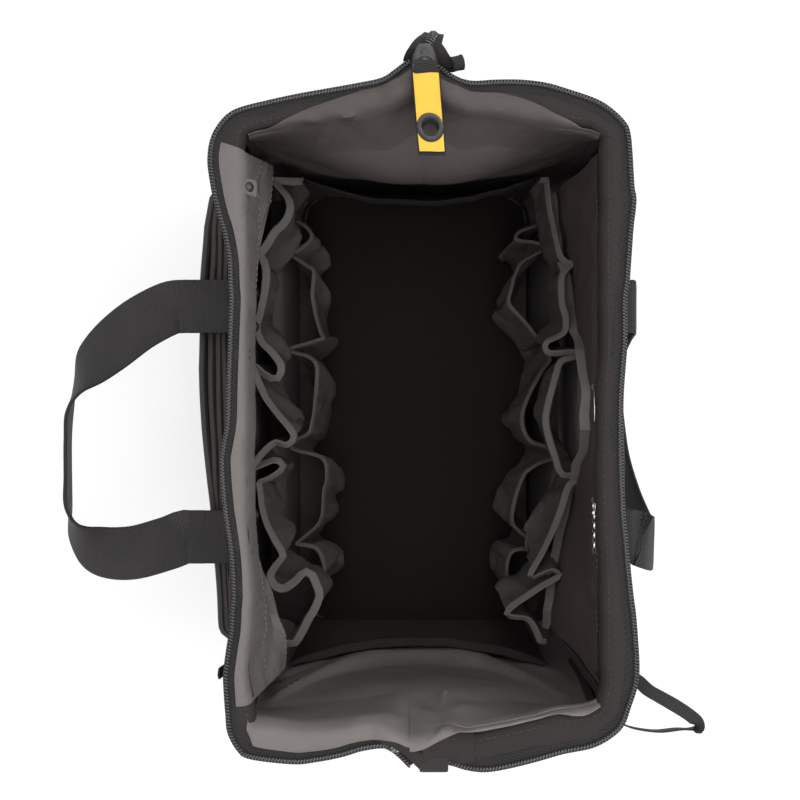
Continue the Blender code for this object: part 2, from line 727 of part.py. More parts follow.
def build_pocket_pull(word, pivot):
    """A small flat pull: an eye round the pin, a narrow neck and a wider end."""
    half = EYE_HEIGHT / 2
    eye = turned(word + "_pocket_pull", [(EYE_OUTER, -half), (EYE_OUTER, half)], ROUND_SIDES,
                 lambda a, b, along: Vector((a, b, along)), SILVER_METAL)
    flat = PULL_THICKNESS / 2
    shape = [(EYE_PIN + PULL_LENGTH * along, half * wide) for along, wide in PULL_SHAPE_SHARES]
    outline = [(-a, b) for a, b in shape] + [(-a, -b) for a, b in shape[::-1]]
    blade = prism(word + "_pull_blade", outline, "X", -flat, flat, SILVER_METAL)
    bore = turned(word + "_pull_bore", [(EYE_BORE, -half * 2), (EYE_BORE, half * 2)], ROUND_SIDES,
                  lambda a, b, along: Vector((a, b, along)), SILVER_METAL)
    for tool, operation in ((blade, "UNION"), (bore, "DIFFERENCE")):
        tool.location = pivot
        boolean(eye, operation, hide(tool))
    eye.location = pivot


# Mouth frame

def build_frame():
    for side, word in ((LEFT, "left"), (RIGHT, "right")):
        path = frame_path(side, ROD_INSET, HINGE_HALF_GAP)
        rod = sweep(word + "_frame_rod", path, ROD_HEIGHT, circle(ROD_RADIUS, TUBE_SIDES), STEEL)
        tools = []
        for tip, end_word in ((path[0], "back"), (path[-1], "front")):
            def spot(a, b, along, tip=tip):
                return Vector((tip.x + a, tip.y + along, ROD_HEIGHT + b))
            reach = ROD_EYE_THICKNESS / 2
            name = word + "_" + end_word
            outline = [(ROD_EYE_RADIUS, -reach), (ROD_EYE_RADIUS, reach)]
            eye = turned(name + "_eye", outline, ROUND_SIDES, spot, STEEL)
            boolean(rod, "UNION", hide(eye))
            bore_radius = STUD_RADIUS + STUD_CLEARANCE
            through = [(bore_radius, -reach * 2), (bore_radius, reach * 2)]
            bore = turned(name + "_bore", through, ROUND_SIDES, spot, STEEL)
            boolean(rod, "DIFFERENCE", hide(bore))
            tools += [eye, bore]
        hem_path = frame_path(side, ROD_INSET, HINGE_HALF_GAP + HEM_START)
        inner = ROD_RADIUS + TOUCH_GAP
        hem_band = channel(inner, inner, HEM_DROP, HEM_THICKNESS)
        hem = sweep(word + "_hem", hem_path, ROD_HEIGHT, hem_band, BLACK_CLOTH)
        low = inner + HEM_THICKNESS + TOUCH_GAP
        band = [(-inner - HEM_THICKNESS, low), (TAPE_REACH, low)]
        band += [(TAPE_REACH, low + TAPE_THICKNESS), (-inner - HEM_THICKNESS, low + TAPE_THICKNESS)]
        tape = sweep(word + "_zip_tape", hem_path, ROD_HEIGHT, band, BLACK_CLOTH)
        coil_out = TAPE_REACH + TOUCH_GAP + COIL_RADIUS
        middle = low + TAPE_THICKNESS / 2
        round_band = [(coil_out + a, middle + b) for a, b in circle(COIL_RADIUS, TUBE_SIDES)]
        coil = sweep(word + "_zip_coil", hem_path, ROD_HEIGHT, round_band, COIL_BLACK)
        hinge = Vector((side * HINGE_HALF_GAP, 0, ROD_HEIGHT))
        set_origin(rod, hinge, tools)
        for piece in (hem, tape, coil):
            set_origin(piece, hinge)


def rod_tip_y(end):
    return end_y(WALL_TOP, end, ROD_INSET, HINGE_HALF_GAP)


def build_hinge_links():
    """A flat link on each end with two studs, on which the rods' eyes turn, under a fold of cloth."""
    for end, word in ((BACK, "back"), (FRONT, "front")):
        near = rod_tip_y(end) + ROD_EYE_THICKNESS / 2 + TOUCH_GAP
        far = near + LINK_THICKNESS
        outline = []
        for side in (RIGHT, LEFT):
            for k in range(TUBE_SIDES + 1):
                angle = math.pi * (k / TUBE_SIDES - side / 2)
                outline.append((side * HINGE_HALF_GAP + LINK_HALF_HEIGHT * math.cos(angle),
                                ROD_HEIGHT + LINK_HALF_HEIGHT * math.sin(angle)))
        link = prism(word + "_hinge_link", outline, "Y", end * near, end * far, STEEL)
        stud_end = rod_tip_y(end) - ROD_EYE_THICKNESS / 2 - TOUCH_GAP
        head_end = stud_end - STUD_HEAD_THICKNESS
        root = near + LINK_THICKNESS / 2
        for side, side_word in ((LEFT, "left"), (RIGHT, "right")):
            profile = [(STUD_RADIUS, root), (STUD_RADIUS, stud_end), (STUD_HEAD_RADIUS, stud_end)]
            profile += [(STUD_HEAD_RADIUS, head_end + STUD_HEAD_THICKNESS / 3), (STUD_RADIUS, head_end)]
            stud = turned(word + "_" + side_word + "_stud", profile, ROUND_SIDES,
                          lambda a, b, along, side=side, end=end:
                          Vector((side * HINGE_HALF_GAP + a, end * along, ROD_HEIGHT + b)), STEEL)
            boolean(link, "UNION", hide(stud))
        build_hem_bridge(word, end, far)


def build_hem_bridge(word, end, far):
    inner_near = rod_tip_y(end) - ROD_RADIUS - TOUCH_GAP
    inner_far = far + TOUCH_GAP
    top = ROD_HEIGHT + LINK_HALF_HEIGHT + TOUCH_GAP
    bottom = ROD_HEIGHT - HEM_DROP
    outline = [(inner_far + HEM_THICKNESS, bottom), (inner_far + HEM_THICKNESS, top + HEM_THICKNESS),
               (inner_near - HEM_THICKNESS, top + HEM_THICKNESS), (inner_near - HEM_THICKNESS, bottom),
               (inner_near, bottom), (inner_near, top), (inner_far, top), (inner_far, bottom)]
    outline = [(end * a, b) for a, b in outline]
    prism(word + "_hem_bridge", outline, "X", -BRIDGE_HALF_WIDTH, BRIDGE_HALF_WIDTH, BLACK_CLOTH)


# Main zip: tail, slider and pull

def bridge_top():
    return ROD_HEIGHT + LINK_HALF_HEIGHT + TOUCH_GAP + HEM_THICKNESS


def coil_edge(end):
    return end_y(WALL_TOP, end, ROD_INSET - TAPE_REACH - TOUCH_GAP - 2 * COIL_RADIUS, HINGE_HALF_GAP)


def build_zip_tail():
    """The closed end of the zip's tape: over the bridge, out past the rim and down."""
    start = rod_tip_y(BACK)
    clear = coil_edge(BACK) + LAYER_GAP
    low = bridge_top() + TOUCH_GAP
    narrow = BRIDGE_HALF_WIDTH - TOUCH_GAP
    stations = [(start, 0, narrow), (clear - LAYER_GAP, 0, narrow), (clear, 0, TAIL_HALF_WIDTH)]
    stations += [(start + TAIL_REACH * out, -TAIL_DROP * down, TAIL_HALF_WIDTH * wide)
                 for out, down, wide in TAIL_SHARES]
    rings = []
    for k, (y, z, half) in enumerate(stations):
        ahead = stations[min(k + 1, len(stations) - 1)]
        behind = stations[max(k - 1, 0)]
        along = Vector((ahead[0] - behind[0], ahead[1] - behind[1])).normalized()
        up = Vector((-along.y, along.x)) * TAIL_THICKNESS
        foot = Vector((y, low + z))
        rings.append([Vector((-half, *foot)), Vector((half, *foot)), Vector((half, *(foot + up))),
                      Vector((-half, *(foot + up)))])
    ring_solid("zip_tail", rings, BLACK_CLOTH)


def slider_pivot():
    y = coil_edge(BACK) + LAYER_GAP + STRAP_EYE_RADIUS
    base = bridge_top() + 2 * TOUCH_GAP + TAIL_THICKNESS
    return Vector((0, y, base + MAIN_SLIDER_HEIGHT + MAIN_PIN_HEIGHT))


def build_main_slider():
    base = bridge_top() + 2 * TOUCH_GAP + TAIL_THICKNESS
    pivot = slider_pivot()
    start = coil_edge(BACK) + LAYER_GAP
    body_top = base + MAIN_SLIDER_HEIGHT
    wide = MAIN_SLIDER_HALF_WIDTH
    rings = []
    for share, half, high in MAIN_SLIDER_SHARES:
        y = start + MAIN_SLIDER_LENGTH * share
        top = blend_between(base, body_top, high)
        rings.append([Vector((-wide * half, y, base)), Vector((wide * half, y, base)),
                      Vector((wide * half, y, top)), Vector((-wide * half, y, top))])
    body = ring_solid("main_slider", rings, BLACK_METAL)
    ear_in = STRAP_EYE_HALF_WIDTH + TOUCH_GAP
    tip = pivot.y + STRAP_EYE_RADIUS * EAR_TIP_SHARE
    sunk = (base + body_top) / 2
    for side, word in ((LEFT, "left"), (RIGHT, "right")):
        low, high = sorted((side * ear_in, side * (ear_in + MAIN_EAR_THICKNESS)))
        top = pivot.z + MAIN_PIN_RADIUS * EAR_TOP_SHARE
        outline = [(start + LAYER_GAP, sunk), (tip + STRAP_EYE_RADIUS, sunk), (tip, top)]
        outline += [(pivot.y - MAIN_PIN_RADIUS, top), (start + LAYER_GAP, pivot.z)]
        boolean(body, "UNION", hide(prism("slider_ear_" + word, outline, "X", low, high, BLACK_METAL)))
    reach = ear_in + MAIN_EAR_THICKNESS / 2
    pin = turned("slider_pin", [(MAIN_PIN_RADIUS, -reach), (MAIN_PIN_RADIUS, reach)], ROUND_SIDES,
                 lambda a, b, along: Vector((along, pivot.y + a, pivot.z + b)), BLACK_METAL)
    boolean(body, "UNION", hide(pin))


def build_main_pull():
    """Webbing on the slider's pin with a bare yellow label and an eyelet through both."""
    pivot = slider_pivot()
    turn = Matrix.Translation(pivot) @ Matrix.Rotation(math.radians(STRAP_SLOPE_DEG), 4, "X")

    def local(a, b, along):
        return Vector((along, a, b))

    rolled = [(STRAP_EYE_RADIUS, -STRAP_EYE_HALF_WIDTH), (STRAP_EYE_RADIUS, STRAP_EYE_HALF_WIDTH)]
    strap = turned("pull_strap", rolled, ROUND_SIDES, local, BLACK_WEBBING)
    half = STRAP_THICKNESS / 2
    shoulder = STRAP_EYE_RADIUS * SHOULDER_SHARE
    wide = STRAP_HALF_WIDTH
    neck = STRAP_EYE_HALF_WIDTH
    outline = [(neck, -MAIN_PIN_RADIUS), (neck, -shoulder)]
    outline += [(wide, -shoulder * SHOULDER_SLOPE_SHARE), (wide, -STRAP_LENGTH)]
    outline += [(-x, y) for x, y in outline[::-1]]
    faces = [[Vector((x, y, z)) for x, y in outline] for z in (-half, half)]
    web = ring_solid("pull_web", faces, BLACK_WEBBING)
    bore_radius = MAIN_PIN_RADIUS + TOUCH_GAP
    pin_hole = turned("pull_pin_hole", [(bore_radius, -STRAP_HALF_WIDTH), (bore_radius, STRAP_HALF_WIDTH)],
                      ROUND_SIDES, local, BLACK_WEBBING)
    eye_y = EYELET_FROM_END - STRAP_LENGTH
    hole_radius = EYELET_BARREL_RADIUS + TOUCH_GAP
    hole_reach = STRAP_LENGTH / 4

    def upright(a, b, along):
        return Vector((a, eye_y + b, along))

    through = [(hole_radius, -hole_reach), (hole_radius, hole_reach)]
    hole = turned("pull_hole", through, EYELET_SIDES, upright, BLACK_WEBBING)
    low = half + TOUCH_GAP
    high = low + LABEL_THICKNESS
    side = STRAP_HALF_WIDTH - LABEL_MARGIN
    end = LABEL_MARGIN - STRAP_LENGTH
    corners = [(side, end + LABEL_LENGTH), (side, end), (-side, end), (-side, end + LABEL_LENGTH)]
    faces = [[Vector((x, y, z)) for x, y in corners] for z in (low, high)]
    label = ring_solid("pull_label", faces, YELLOW_LABEL)
    for tool, operation in ((web, "UNION"), (pin_hole, "DIFFERENCE"), (hole, "DIFFERENCE")):
        boolean(strap, operation, hide(tool))
    boolean(label, "DIFFERENCE", hole)
    eyelet = build_eyelet(eye_y, -half - TOUCH_GAP, high + TOUCH_GAP)
    for piece in (strap, web, pin_hole, hole, label, eyelet):
        piece.matrix_world = turn


def build_eyelet(y, low, high):
    """A rolled metal eyelet: a barrel through webbing and label with a flange on each face."""
    flange = EYELET_FLANGE_THICKNESS
    edge = EYELET_FLANGE_RADIUS - flange / 2
    bottom = low - flange / 2
    top = high + flange / 2
    profile = [(EYELET_BORE_RADIUS, bottom), (edge, low - flange), (EYELET_FLANGE_RADIUS, bottom)]
    profile += [(edge, low), (EYELET_BARREL_RADIUS, low), (EYELET_BARREL_RADIUS, high), (edge, high)]
    profile += [(EYELET_FLANGE_RADIUS, top), (edge, high + flange), (EYELET_BORE_RADIUS, top)]
    sides = EYELET_SIDES
    rings = [[Vector((r * math.cos(2 * math.pi * k / sides), y + r * math.sin(2 * math.pi * k / sides), z))
              for r, z in profile] for k in range(sides)]
    count = len(profile)
    faces = []
    for k in range(sides):
        following = (k + 1) % sides
        for p in range(count):
            q = (p + 1) % count
            faces.append([k * count + p, k * count + q, following * count + q, following * count + p])
    return place("pull_eyelet", [p for ring in rings for p in ring], faces, BLACK_METAL)


def build_small_loops():
    """The webbing loop beside the slider, and the tab over the front end of the zip."""
    top = bridge_top() + 2 * TOUCH_GAP + TAIL_THICKNESS
    y = coil_edge(BACK) + LAYER_GAP + HANG_LOOP_HALF_WIDTH
    x = MAIN_SLIDER_HALF_WIDTH + HANG_LOOP_RADIUS + HANG_LOOP_THICKNESS / 2
    outer = circle(HANG_LOOP_RADIUS, ROUND_SIDES)
    inner = circle(HANG_LOOP_RADIUS - HANG_LOOP_THICKNESS, ROUND_SIDES)
    verts = []
    for a, b in outer + inner:
        for along in (-HANG_LOOP_HALF_WIDTH, HANG_LOOP_HALF_WIDTH):
            verts.append(Vector((x + a, y + along, top + HANG_LOOP_RADIUS + b)))
    faces = []
    shift = 2 * ROUND_SIDES
    for k in range(ROUND_SIDES):
        here = 2 * k
        there = 2 * ((k + 1) % ROUND_SIDES)
        faces.append([here, there, there + 1, here + 1])
        faces.append([shift + here, shift + here + 1, shift + there + 1, shift + there])
        faces.append([here, shift + here, shift + there, there])
        faces.append([here + 1, there + 1, shift + there + 1, shift + here + 1])
    place("hang_loop", verts, faces, BLACK_WEBBING)
    bridge_out = rod_tip_y(FRONT) + ROD_EYE_THICKNESS / 2 + 2 * TOUCH_GAP + LINK_THICKNESS + HEM_THICKNESS
    near = -bridge_out - TOUCH_GAP
    far = near - FRONT_TAB_THICKNESS
    outline = [(near, FRONT_TAB_TOP), (near, FRONT_TAB_BOTTOM), (far, FRONT_TAB_BOTTOM), (far, FRONT_TAB_TOP)]
    prism("front_zip_tab", outline, "X", -FRONT_TAB_HALF_WIDTH, FRONT_TAB_HALF_WIDTH, BLACK_WEBBING)


# Outside

def build_outer_pockets():
    """A long slip pocket on each side, boxed out from the wall and open at its top."""
    for side, word, standoff in ((LEFT, "left", LEFT_OUTER_STANDOFF), (RIGHT, "right", RIGHT_OUTER_STANDOFF)):
        along = [OUTER_POCKET_HALF_LENGTH - OUTER_SIDE_RUN * share for share in OUTER_EDGE_SHARES]
        along += [-y for y in along[::-1]]
        rows = []
        for level in OUTER_LEVEL_SHARES:
            z = blend_between(OUTER_POCKET_BOTTOM, OUTER_POCKET_TOP, level)
            fullness = math.sin(math.pi / 2 * min(1, level / OUTER_CLOSE_SHARE))
            row = []
            for y in along:
                edge = min((OUTER_POCKET_HALF_LENGTH - abs(y)) / OUTER_SIDE_RUN, 1)
                rise = math.sin(math.pi / 2 * edge) * fullness
                row.append(Vector((side * (half_width(z) + LAYER_GAP + standoff * rise), y, z)))
            rows.append(row)
        pocket = open_grid(word + "_outer_pocket", rows, Vector((side, 0, 0)), BLACK_CLOTH)
        give_thickness(pocket, OUTER_POCKET_THICKNESS, 1)


def pivot_out(side):
    """How far out the handle's webbing begins."""
    standoff = LEFT_OUTER_STANDOFF if side == LEFT else RIGHT_OUTER_STANDOFF
    pocket_face = half_width(OUTER_POCKET_TOP) + standoff + OUTER_POCKET_THICKNESS
    return pocket_face + 2 * TOUCH_GAP + WEBBING_THICKNESS / 2


def fold_out(side):
    """The handle folds up about the line over the gap between anchor and handle."""
    return pivot_out(side) - WEBBING_THICKNESS / 2 - TOUCH_GAP / 2


def fold_rise():
    return WEBBING_THICKNESS / 2 + TOUCH_GAP


def thick_line(points, thickness):
    """The outline of a strip of even thickness along a line of points."""
    left = []
    right = []
    for k, point in enumerate(points):
        ahead = points[min(k + 1, len(points) - 1)]
        behind = points[max(k - 1, 0)]
        along = (ahead - behind).normalized()
        across = Vector((-along.y, along.x)) * thickness / 2
        left.append(point + across)
        right.append(point - across)
    return left + right[::-1]


def build_anchors(walls):
    """Webbing up the outside of the wall, bent out over the pocket, and the rivets that hold it."""
    middle_gap = LAYER_GAP + WEBBING_THICKNESS / 2
    for side, side_word in ((LEFT, "left"), (RIGHT, "right")):
        cut = []
        for arm_y, arm_word in ((BACK_ARM_Y, "back"), (FRONT_ARM_Y, "front")):
            bend_low = ANCHOR_HEIGHT - ANCHOR_BEND_RADIUS
            line = []
            for k in range(4):
                z = blend_between(ANCHOR_BOTTOM, bend_low, k / 3)
                line.append(Vector((half_width(z) + middle_gap, z)))
            foot = line[-1]
            for k in range(1, 5):
                angle = math.pi / 2 * k / 4
                line.append(Vector((foot.x + ANCHOR_BEND_RADIUS * (1 - math.cos(angle)),
                                    bend_low + ANCHOR_BEND_RADIUS * math.sin(angle))))
            out = pivot_out(side) - WEBBING_THICKNESS / 2 - TOUCH_GAP
            if out > line[-1].x:
                line.append(Vector((out, ANCHOR_HEIGHT)))
            outline = [(side * p.x, p.y) for p in thick_line(line, WEBBING_THICKNESS)]
            half = WEBBING_WIDTH / 2
            name = side_word + "_" + arm_word + "_anchor"
            anchor = prism(name, outline, "Y", arm_y - half, arm_y + half, BLACK_WEBBING)
            cut.append(anchor)
            for sign, mark in ((1, "a"), (-1, "b")):
                rivet_name = side_word + "_" + arm_word + "_rivet_" + mark
                build_rivet(side, rivet_name, arm_y + sign * RIVET_HALF_SPACING, walls[side] + [anchor])


def build_rivet(side, name, y, layers):
    outside = half_width(RIVET_HEIGHT) + LAYER_GAP + WEBBING_THICKNESS + TOUCH_GAP
    inside = half_width(RIVET_HEIGHT) - LINED_INSET - TOUCH_GAP * 2
    head = RIVET_HEAD_THICKNESS
    profile = [(RIVET_CAP_RADIUS * RIVET_FLAT_SHARE, inside - head), (RIVET_CAP_RADIUS, inside - head / 2)]
    profile += [(RIVET_CAP_RADIUS, inside)]
    profile += [(RIVET_RADIUS, inside), (RIVET_RADIUS, outside), (RIVET_HEAD_RADIUS, outside)]
    profile += [(RIVET_HEAD_RADIUS, outside + head / 2)]
    profile += [(RIVET_HEAD_RADIUS * RIVET_FLAT_SHARE, outside + head)]

    def spot(a, b, along):
        return Vector((side * along, y + a, RIVET_HEIGHT + b))

    turned(name, profile, RIVET_SIDES, spot, BLACK_METAL)
    hole_radius = RIVET_RADIUS + RIVET_CLEARANCE
    overrun = RIVET_HEAD_RADIUS
    through = [(hole_radius, inside - overrun), (hole_radius, outside + overrun)]
    hole = turned(name + "_hole", through, RIVET_SIDES, spot, STEEL)
    for layer in layers:
        boolean(layer, "DIFFERENCE", hole)
    hide(hole)


def ribbon(name, stations, width, thickness, look, round_ends):
    """Webbing through stations of a centre and a width direction, its ends round if they turn on an axis."""
    if round_ends:
        half = thickness / 2
        opened = []
        for which, order in ((0, 1), (-1, -1)):
            centre, across = stations[which]
            inward = (stations[which + order][0] - centre).normalized()
            turns = [math.pi / 2 * share for share in ROUND_END_SHARES]
            caps = [(centre - inward * half * math.sin(turn), across, math.cos(turn)) for turn in turns]
            opened.append(caps)
        full = opened[0] + [(c, w, 1) for c, w in stations] + opened[1][::-1]
    else:
        full = [(c, w, 1) for c, w in stations]
    rings = []
    for k, (centre, across, share) in enumerate(full):
        ahead = full[min(k + 1, len(full) - 1)][0]
        behind = full[max(k - 1, 0)][0]
        along = (ahead - behind).normalized()
        across = (across - along * across.dot(along)).normalized() * width / 2
        over = along.cross(across).normalized() * thickness / 2 * share
        far = [centre + across + over, centre + across - over]
        rings.append(far + [centre - across - over, centre - across + over])
    return ring_solid(name, rings, look)


def smooth_route(points, steps):
    """Catmull-Rom curve through rows of six values: a place and a width direction."""
    found = []
    for k in range(len(points) - 1):
        p0 = points[max(k - 1, 0)]
        p1 = points[k]
        p2 = points[k + 1]
        p3 = points[min(k + 2, len(points) - 1)]
        for step in range(steps):
            t = step / steps
            found.append([(2 * b + (c - a) * t + (2 * a - 5 * b + 4 * c - d) * t ** 2
                           + (3 * b - a - 3 * c + d) * t ** 3) / 2 for a, b, c, d in zip(p0, p1, p2, p3)])
    found.append(list(points[-1]))
    return found


def build_handles():
    arm_middle = (BACK_ARM_Y + FRONT_ARM_Y) / 2
    arm_half = (BACK_ARM_Y - FRONT_ARM_Y) / 2
    left = (LEFT, "left", LEFT_HANDLE_SHARES, HANDLE_REACH, WEBBING_WIDTH)
    right = (RIGHT, "right", RIGHT_HANDLE_SHARES, RIGHT_HANDLE_REACH, RIGHT_HANDLE_HANG)
    for side, word, shares, reach, rise in (left, right):
        root = Vector((side * pivot_out(side), arm_middle, ANCHOR_HEIGHT))
        stations = []
        for out, along, up, width_out, width_along, width_up in smooth_route(shares, 2):
            centre = Vector((side * out * reach, along * arm_half, up * rise))
            stations.append((centre, Vector((side * width_out, width_along, width_up))))
        handle = ribbon(word + "_handle", stations, WEBBING_WIDTH, WEBBING_THICKNESS, BLACK_WEBBING, True)
        handle.data.transform(Matrix.Translation(root))
        set_origin(handle, Vector((side * fold_out(side), arm_middle, ANCHOR_HEIGHT + fold_rise())))


def build_thin_loop():
    """The soft loop that stands out of the front right corner."""
    start = Vector((half_width(THIN_LOOP_HEIGHT) + THIN_LOOP_SEAT, THIN_LOOP_START_Y, THIN_LOOP_HEIGHT))
    stations = []
    for out, along, up, width_out, width_along, width_up in smooth_route(THIN_LOOP_SHARES, 2):
        centre = start + Vector((out * THIN_LOOP_REACH, along * THIN_LOOP_SPREAD, up * THIN_LOOP_REACH))
        stations.append((centre, Vector((width_out, width_along, width_up))))
    ribbon("thin_loop", stations, THIN_LOOP_WIDTH, THIN_LOOP_THICKNESS, BLACK_WEBBING, False)


start_scene()
shell_walls = build_shell()
build_end_pockets()
build_rows()
build_zip_pocket()
build_frame()
build_hinge_links()
build_zip_tail()
build_main_slider()
build_main_pull()
build_small_loops()
build_outer_pockets()
build_anchors(shell_walls)
build_handles()
build_thin_loop()
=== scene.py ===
"""Looks of the wide-mouth tool bag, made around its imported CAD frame. Metres, +Z up."""
import math

import bmesh
import bpy
import numpy as np
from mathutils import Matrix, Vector, noise


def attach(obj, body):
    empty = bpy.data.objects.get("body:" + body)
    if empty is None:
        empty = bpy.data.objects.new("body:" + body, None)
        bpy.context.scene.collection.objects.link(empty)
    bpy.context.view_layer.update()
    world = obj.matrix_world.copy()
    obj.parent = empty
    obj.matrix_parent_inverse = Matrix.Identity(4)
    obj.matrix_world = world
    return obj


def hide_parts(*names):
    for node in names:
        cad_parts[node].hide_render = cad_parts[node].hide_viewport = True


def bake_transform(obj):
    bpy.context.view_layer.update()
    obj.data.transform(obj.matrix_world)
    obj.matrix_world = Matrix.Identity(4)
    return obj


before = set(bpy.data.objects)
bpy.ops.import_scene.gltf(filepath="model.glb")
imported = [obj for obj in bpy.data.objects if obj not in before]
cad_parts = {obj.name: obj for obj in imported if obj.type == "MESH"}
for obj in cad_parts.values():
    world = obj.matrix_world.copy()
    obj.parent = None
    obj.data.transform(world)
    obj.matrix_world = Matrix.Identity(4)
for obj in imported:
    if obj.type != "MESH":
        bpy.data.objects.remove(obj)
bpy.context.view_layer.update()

# The photograph looks straight down at the mouth
CAMERA_AT = (-0.015, 0.0075, 0.797)
VIEW_SHARE = 0.4901
HALF_IMAGE = 400
# Metres in one unit of the picture at the mouth
IMAGE_UNIT = 0.00062

# Shell, as in the part's source
BASE_HALF_WIDTH = 0.115
BASE_HALF_LENGTH = 0.212
RIM_HALF_WIDTH = 0.123
RIM_MIDDLE = {1: 0.206, -1: 0.2125}
RIM_CORNER = {1: 0.186, -1: 0.2085}
BASE_CORNER_RADIUS = 0.030
RIM_CORNER_RADIUS = 0.018
WALL_TOP = 0.277
SIDE_BULGE = 0.0135
SINK = {1: 0.042, -1: 0.014}
SINK_START = 0.060
WALL_INSET = 0.0015
LINING_INSET = 0.0042
ROD_INSET = 0.0055
CHAIN_HEIGHT = 0.2911
WEBBING_WIDTH = 0.038
WEBBING_THICKNESS = 0.0026
ANCHOR_HEIGHT = 0.2125
BACK, FRONT, LEFT, RIGHT = 1, -1, -1, 1
SIDE_WORD = {LEFT: "left", RIGHT: "right"}
END_WORD = {BACK: "back", FRONT: "front"}
# Where the end linings are caught in the photograph, and how deep the folds are there
CAUGHT = {BACK: ((330, 118), 0.0022), FRONT: ((445, 712), 0.0030)}


def unit_size(z):
    """Metres in one unit of the photograph's frame at this height."""
    return (CAMERA_AT[2] - z) * VIEW_SHARE / HALF_IMAGE


def seen(px, py, z):
    """Where a point of the photograph's frame lies at this height."""
    scale = unit_size(z)
    return np.array([CAMERA_AT[0] + (px - HALF_IMAGE) * scale, CAMERA_AT[1] - (py - HALF_IMAGE) * scale, z])


def seen_line(spots, count, *height):
    """A smooth line through points of the photograph's frame, each with its height or all at one."""
    return smooth_line([seen(*spot, *height) for spot in spots], count)


# Lines and surfaces

def along(points):
    steps = np.linalg.norm(np.diff(points, axis=0), axis=1)
    return np.concatenate([[0], np.cumsum(steps)])


def evenly(points, count):
    """The same line with evenly spaced points."""
    points = np.asarray(points, float)
    place = along(points)
    wanted = np.linspace(0, place[-1], count)
    return np.stack([np.interp(wanted, place, points[:, k]) for k in range(points.shape[1])], axis=1)


def smooth_line(points, count):
    """A Catmull-Rom curve through the points, evenly spaced."""
    points = np.asarray(points, float)
    padded = np.concatenate([[2 * points[0] - points[1]], points, [2 * points[-1] - points[-2]]])
    found = []
    for k in range(1, len(padded) - 2):
        a, b, c, d = padded[k - 1:k + 3]
        for t in np.linspace(0, 1, 12, endpoint=False):
            found.append((2 * b + (c - a) * t + (2 * a - 5 * b + 4 * c - d) * t * t
                          + (3 * b - a - 3 * c + d) * t ** 3) / 2)
    found.append(points[-1])
    return evenly(found, count)


def unit(vectors):
    """The same directions, each of length one."""
    return vectors / np.maximum(np.linalg.norm(vectors, axis=-1, keepdims=True), 1e-9)


def grid_normals(grid):
    return unit(np.cross(np.gradient(grid, axis=0), np.gradient(grid, axis=1)))


def between(low, high, share):
    return low + (high - low) * share


def eased(share):
    """A share from 0 to 1 that starts and stops gently."""
    share = np.clip(share, 0, 1)
    return share * share * (3 - 2 * share)


def ripple(p, size, seed=0.0):
    return noise.noise(Vector((p[0] / size + seed, p[1] / size - seed, p[2] / size + 2 * seed)))


def fold(p, size, seed=0.0):
    """Ridged noise, for creases with sharp crests."""
    return 1 - 2 * abs(ripple(p, size, seed))


def wrinkled(grid, depth, size, seed=0.0, sharp=False):
    """Move a surface along its normals by noise, fading out at its edges."""
    normals = grid_normals(grid)
    rows, columns = grid.shape[:2]
    out = grid.copy()
    shape = fold if sharp else ripple
    for r in range(rows):
        for c in range(columns):
            fade = min(1, min(r, rows - 1 - r, c, columns - 1 - c) / 3)
            out[r, c] += normals[r, c] * depth * fade * shape(grid[r, c], size, seed)
    return out


def settled(grid, held, slack, cap):
    """A sheet too big for its seams by its slack, settled as cloth: held marks sewn points, cap limits the way."""
    frames = 16
    rows, columns = grid.shape[:2]
    mesh = bpy.data.meshes.new("settling")
    faces = [(r * columns + c, r * columns + c + 1, (r + 1) * columns + c + 1, (r + 1) * columns + c)
             for r in range(rows - 1) for c in range(columns - 1)]
    mesh.from_pydata([tuple(p) for p in grid.reshape(-1, 3)], [], faces)
    piece = bpy.data.objects.new("settling", mesh)
    bpy.context.scene.collection.objects.link(piece)
    sewn = piece.vertex_groups.new(name="sewn")
    for k, weight in enumerate(np.asarray(held, float).reshape(-1)):
        if weight > 0:
            sewn.add([k], float(weight), "REPLACE")
    cloth = piece.modifiers.new("cloth", "CLOTH")
    settings = cloth.settings
    settings.quality = 6
    settings.mass = 0.15
    settings.tension_stiffness = 12
    settings.compression_stiffness = 8
    settings.shear_stiffness = 4
    settings.bending_stiffness = 0.4
    settings.air_damping = 4
    settings.vertex_group_mass = "sewn"
    settings.shrink_min = -slack
    cloth.point_cache.frame_start = 1
    cloth.point_cache.frame_end = frames
    stage = bpy.context.scene
    for step in range(1, frames + 1):
        stage.frame_set(step)
    shaped = piece.evaluated_get(bpy.context.evaluated_depsgraph_get())
    coords = np.empty(rows * columns * 3)
    shaped.data.vertices.foreach_get("co", coords)
    stage.frame_set(1)
    bpy.data.objects.remove(piece)
    bpy.data.meshes.remove(mesh)
    moved = coords.reshape(rows, columns, 3) - grid
    far = np.linalg.norm(moved, axis=2, keepdims=True)
    return grid + moved * np.minimum(1, cap / np.maximum(far, 1e-9))


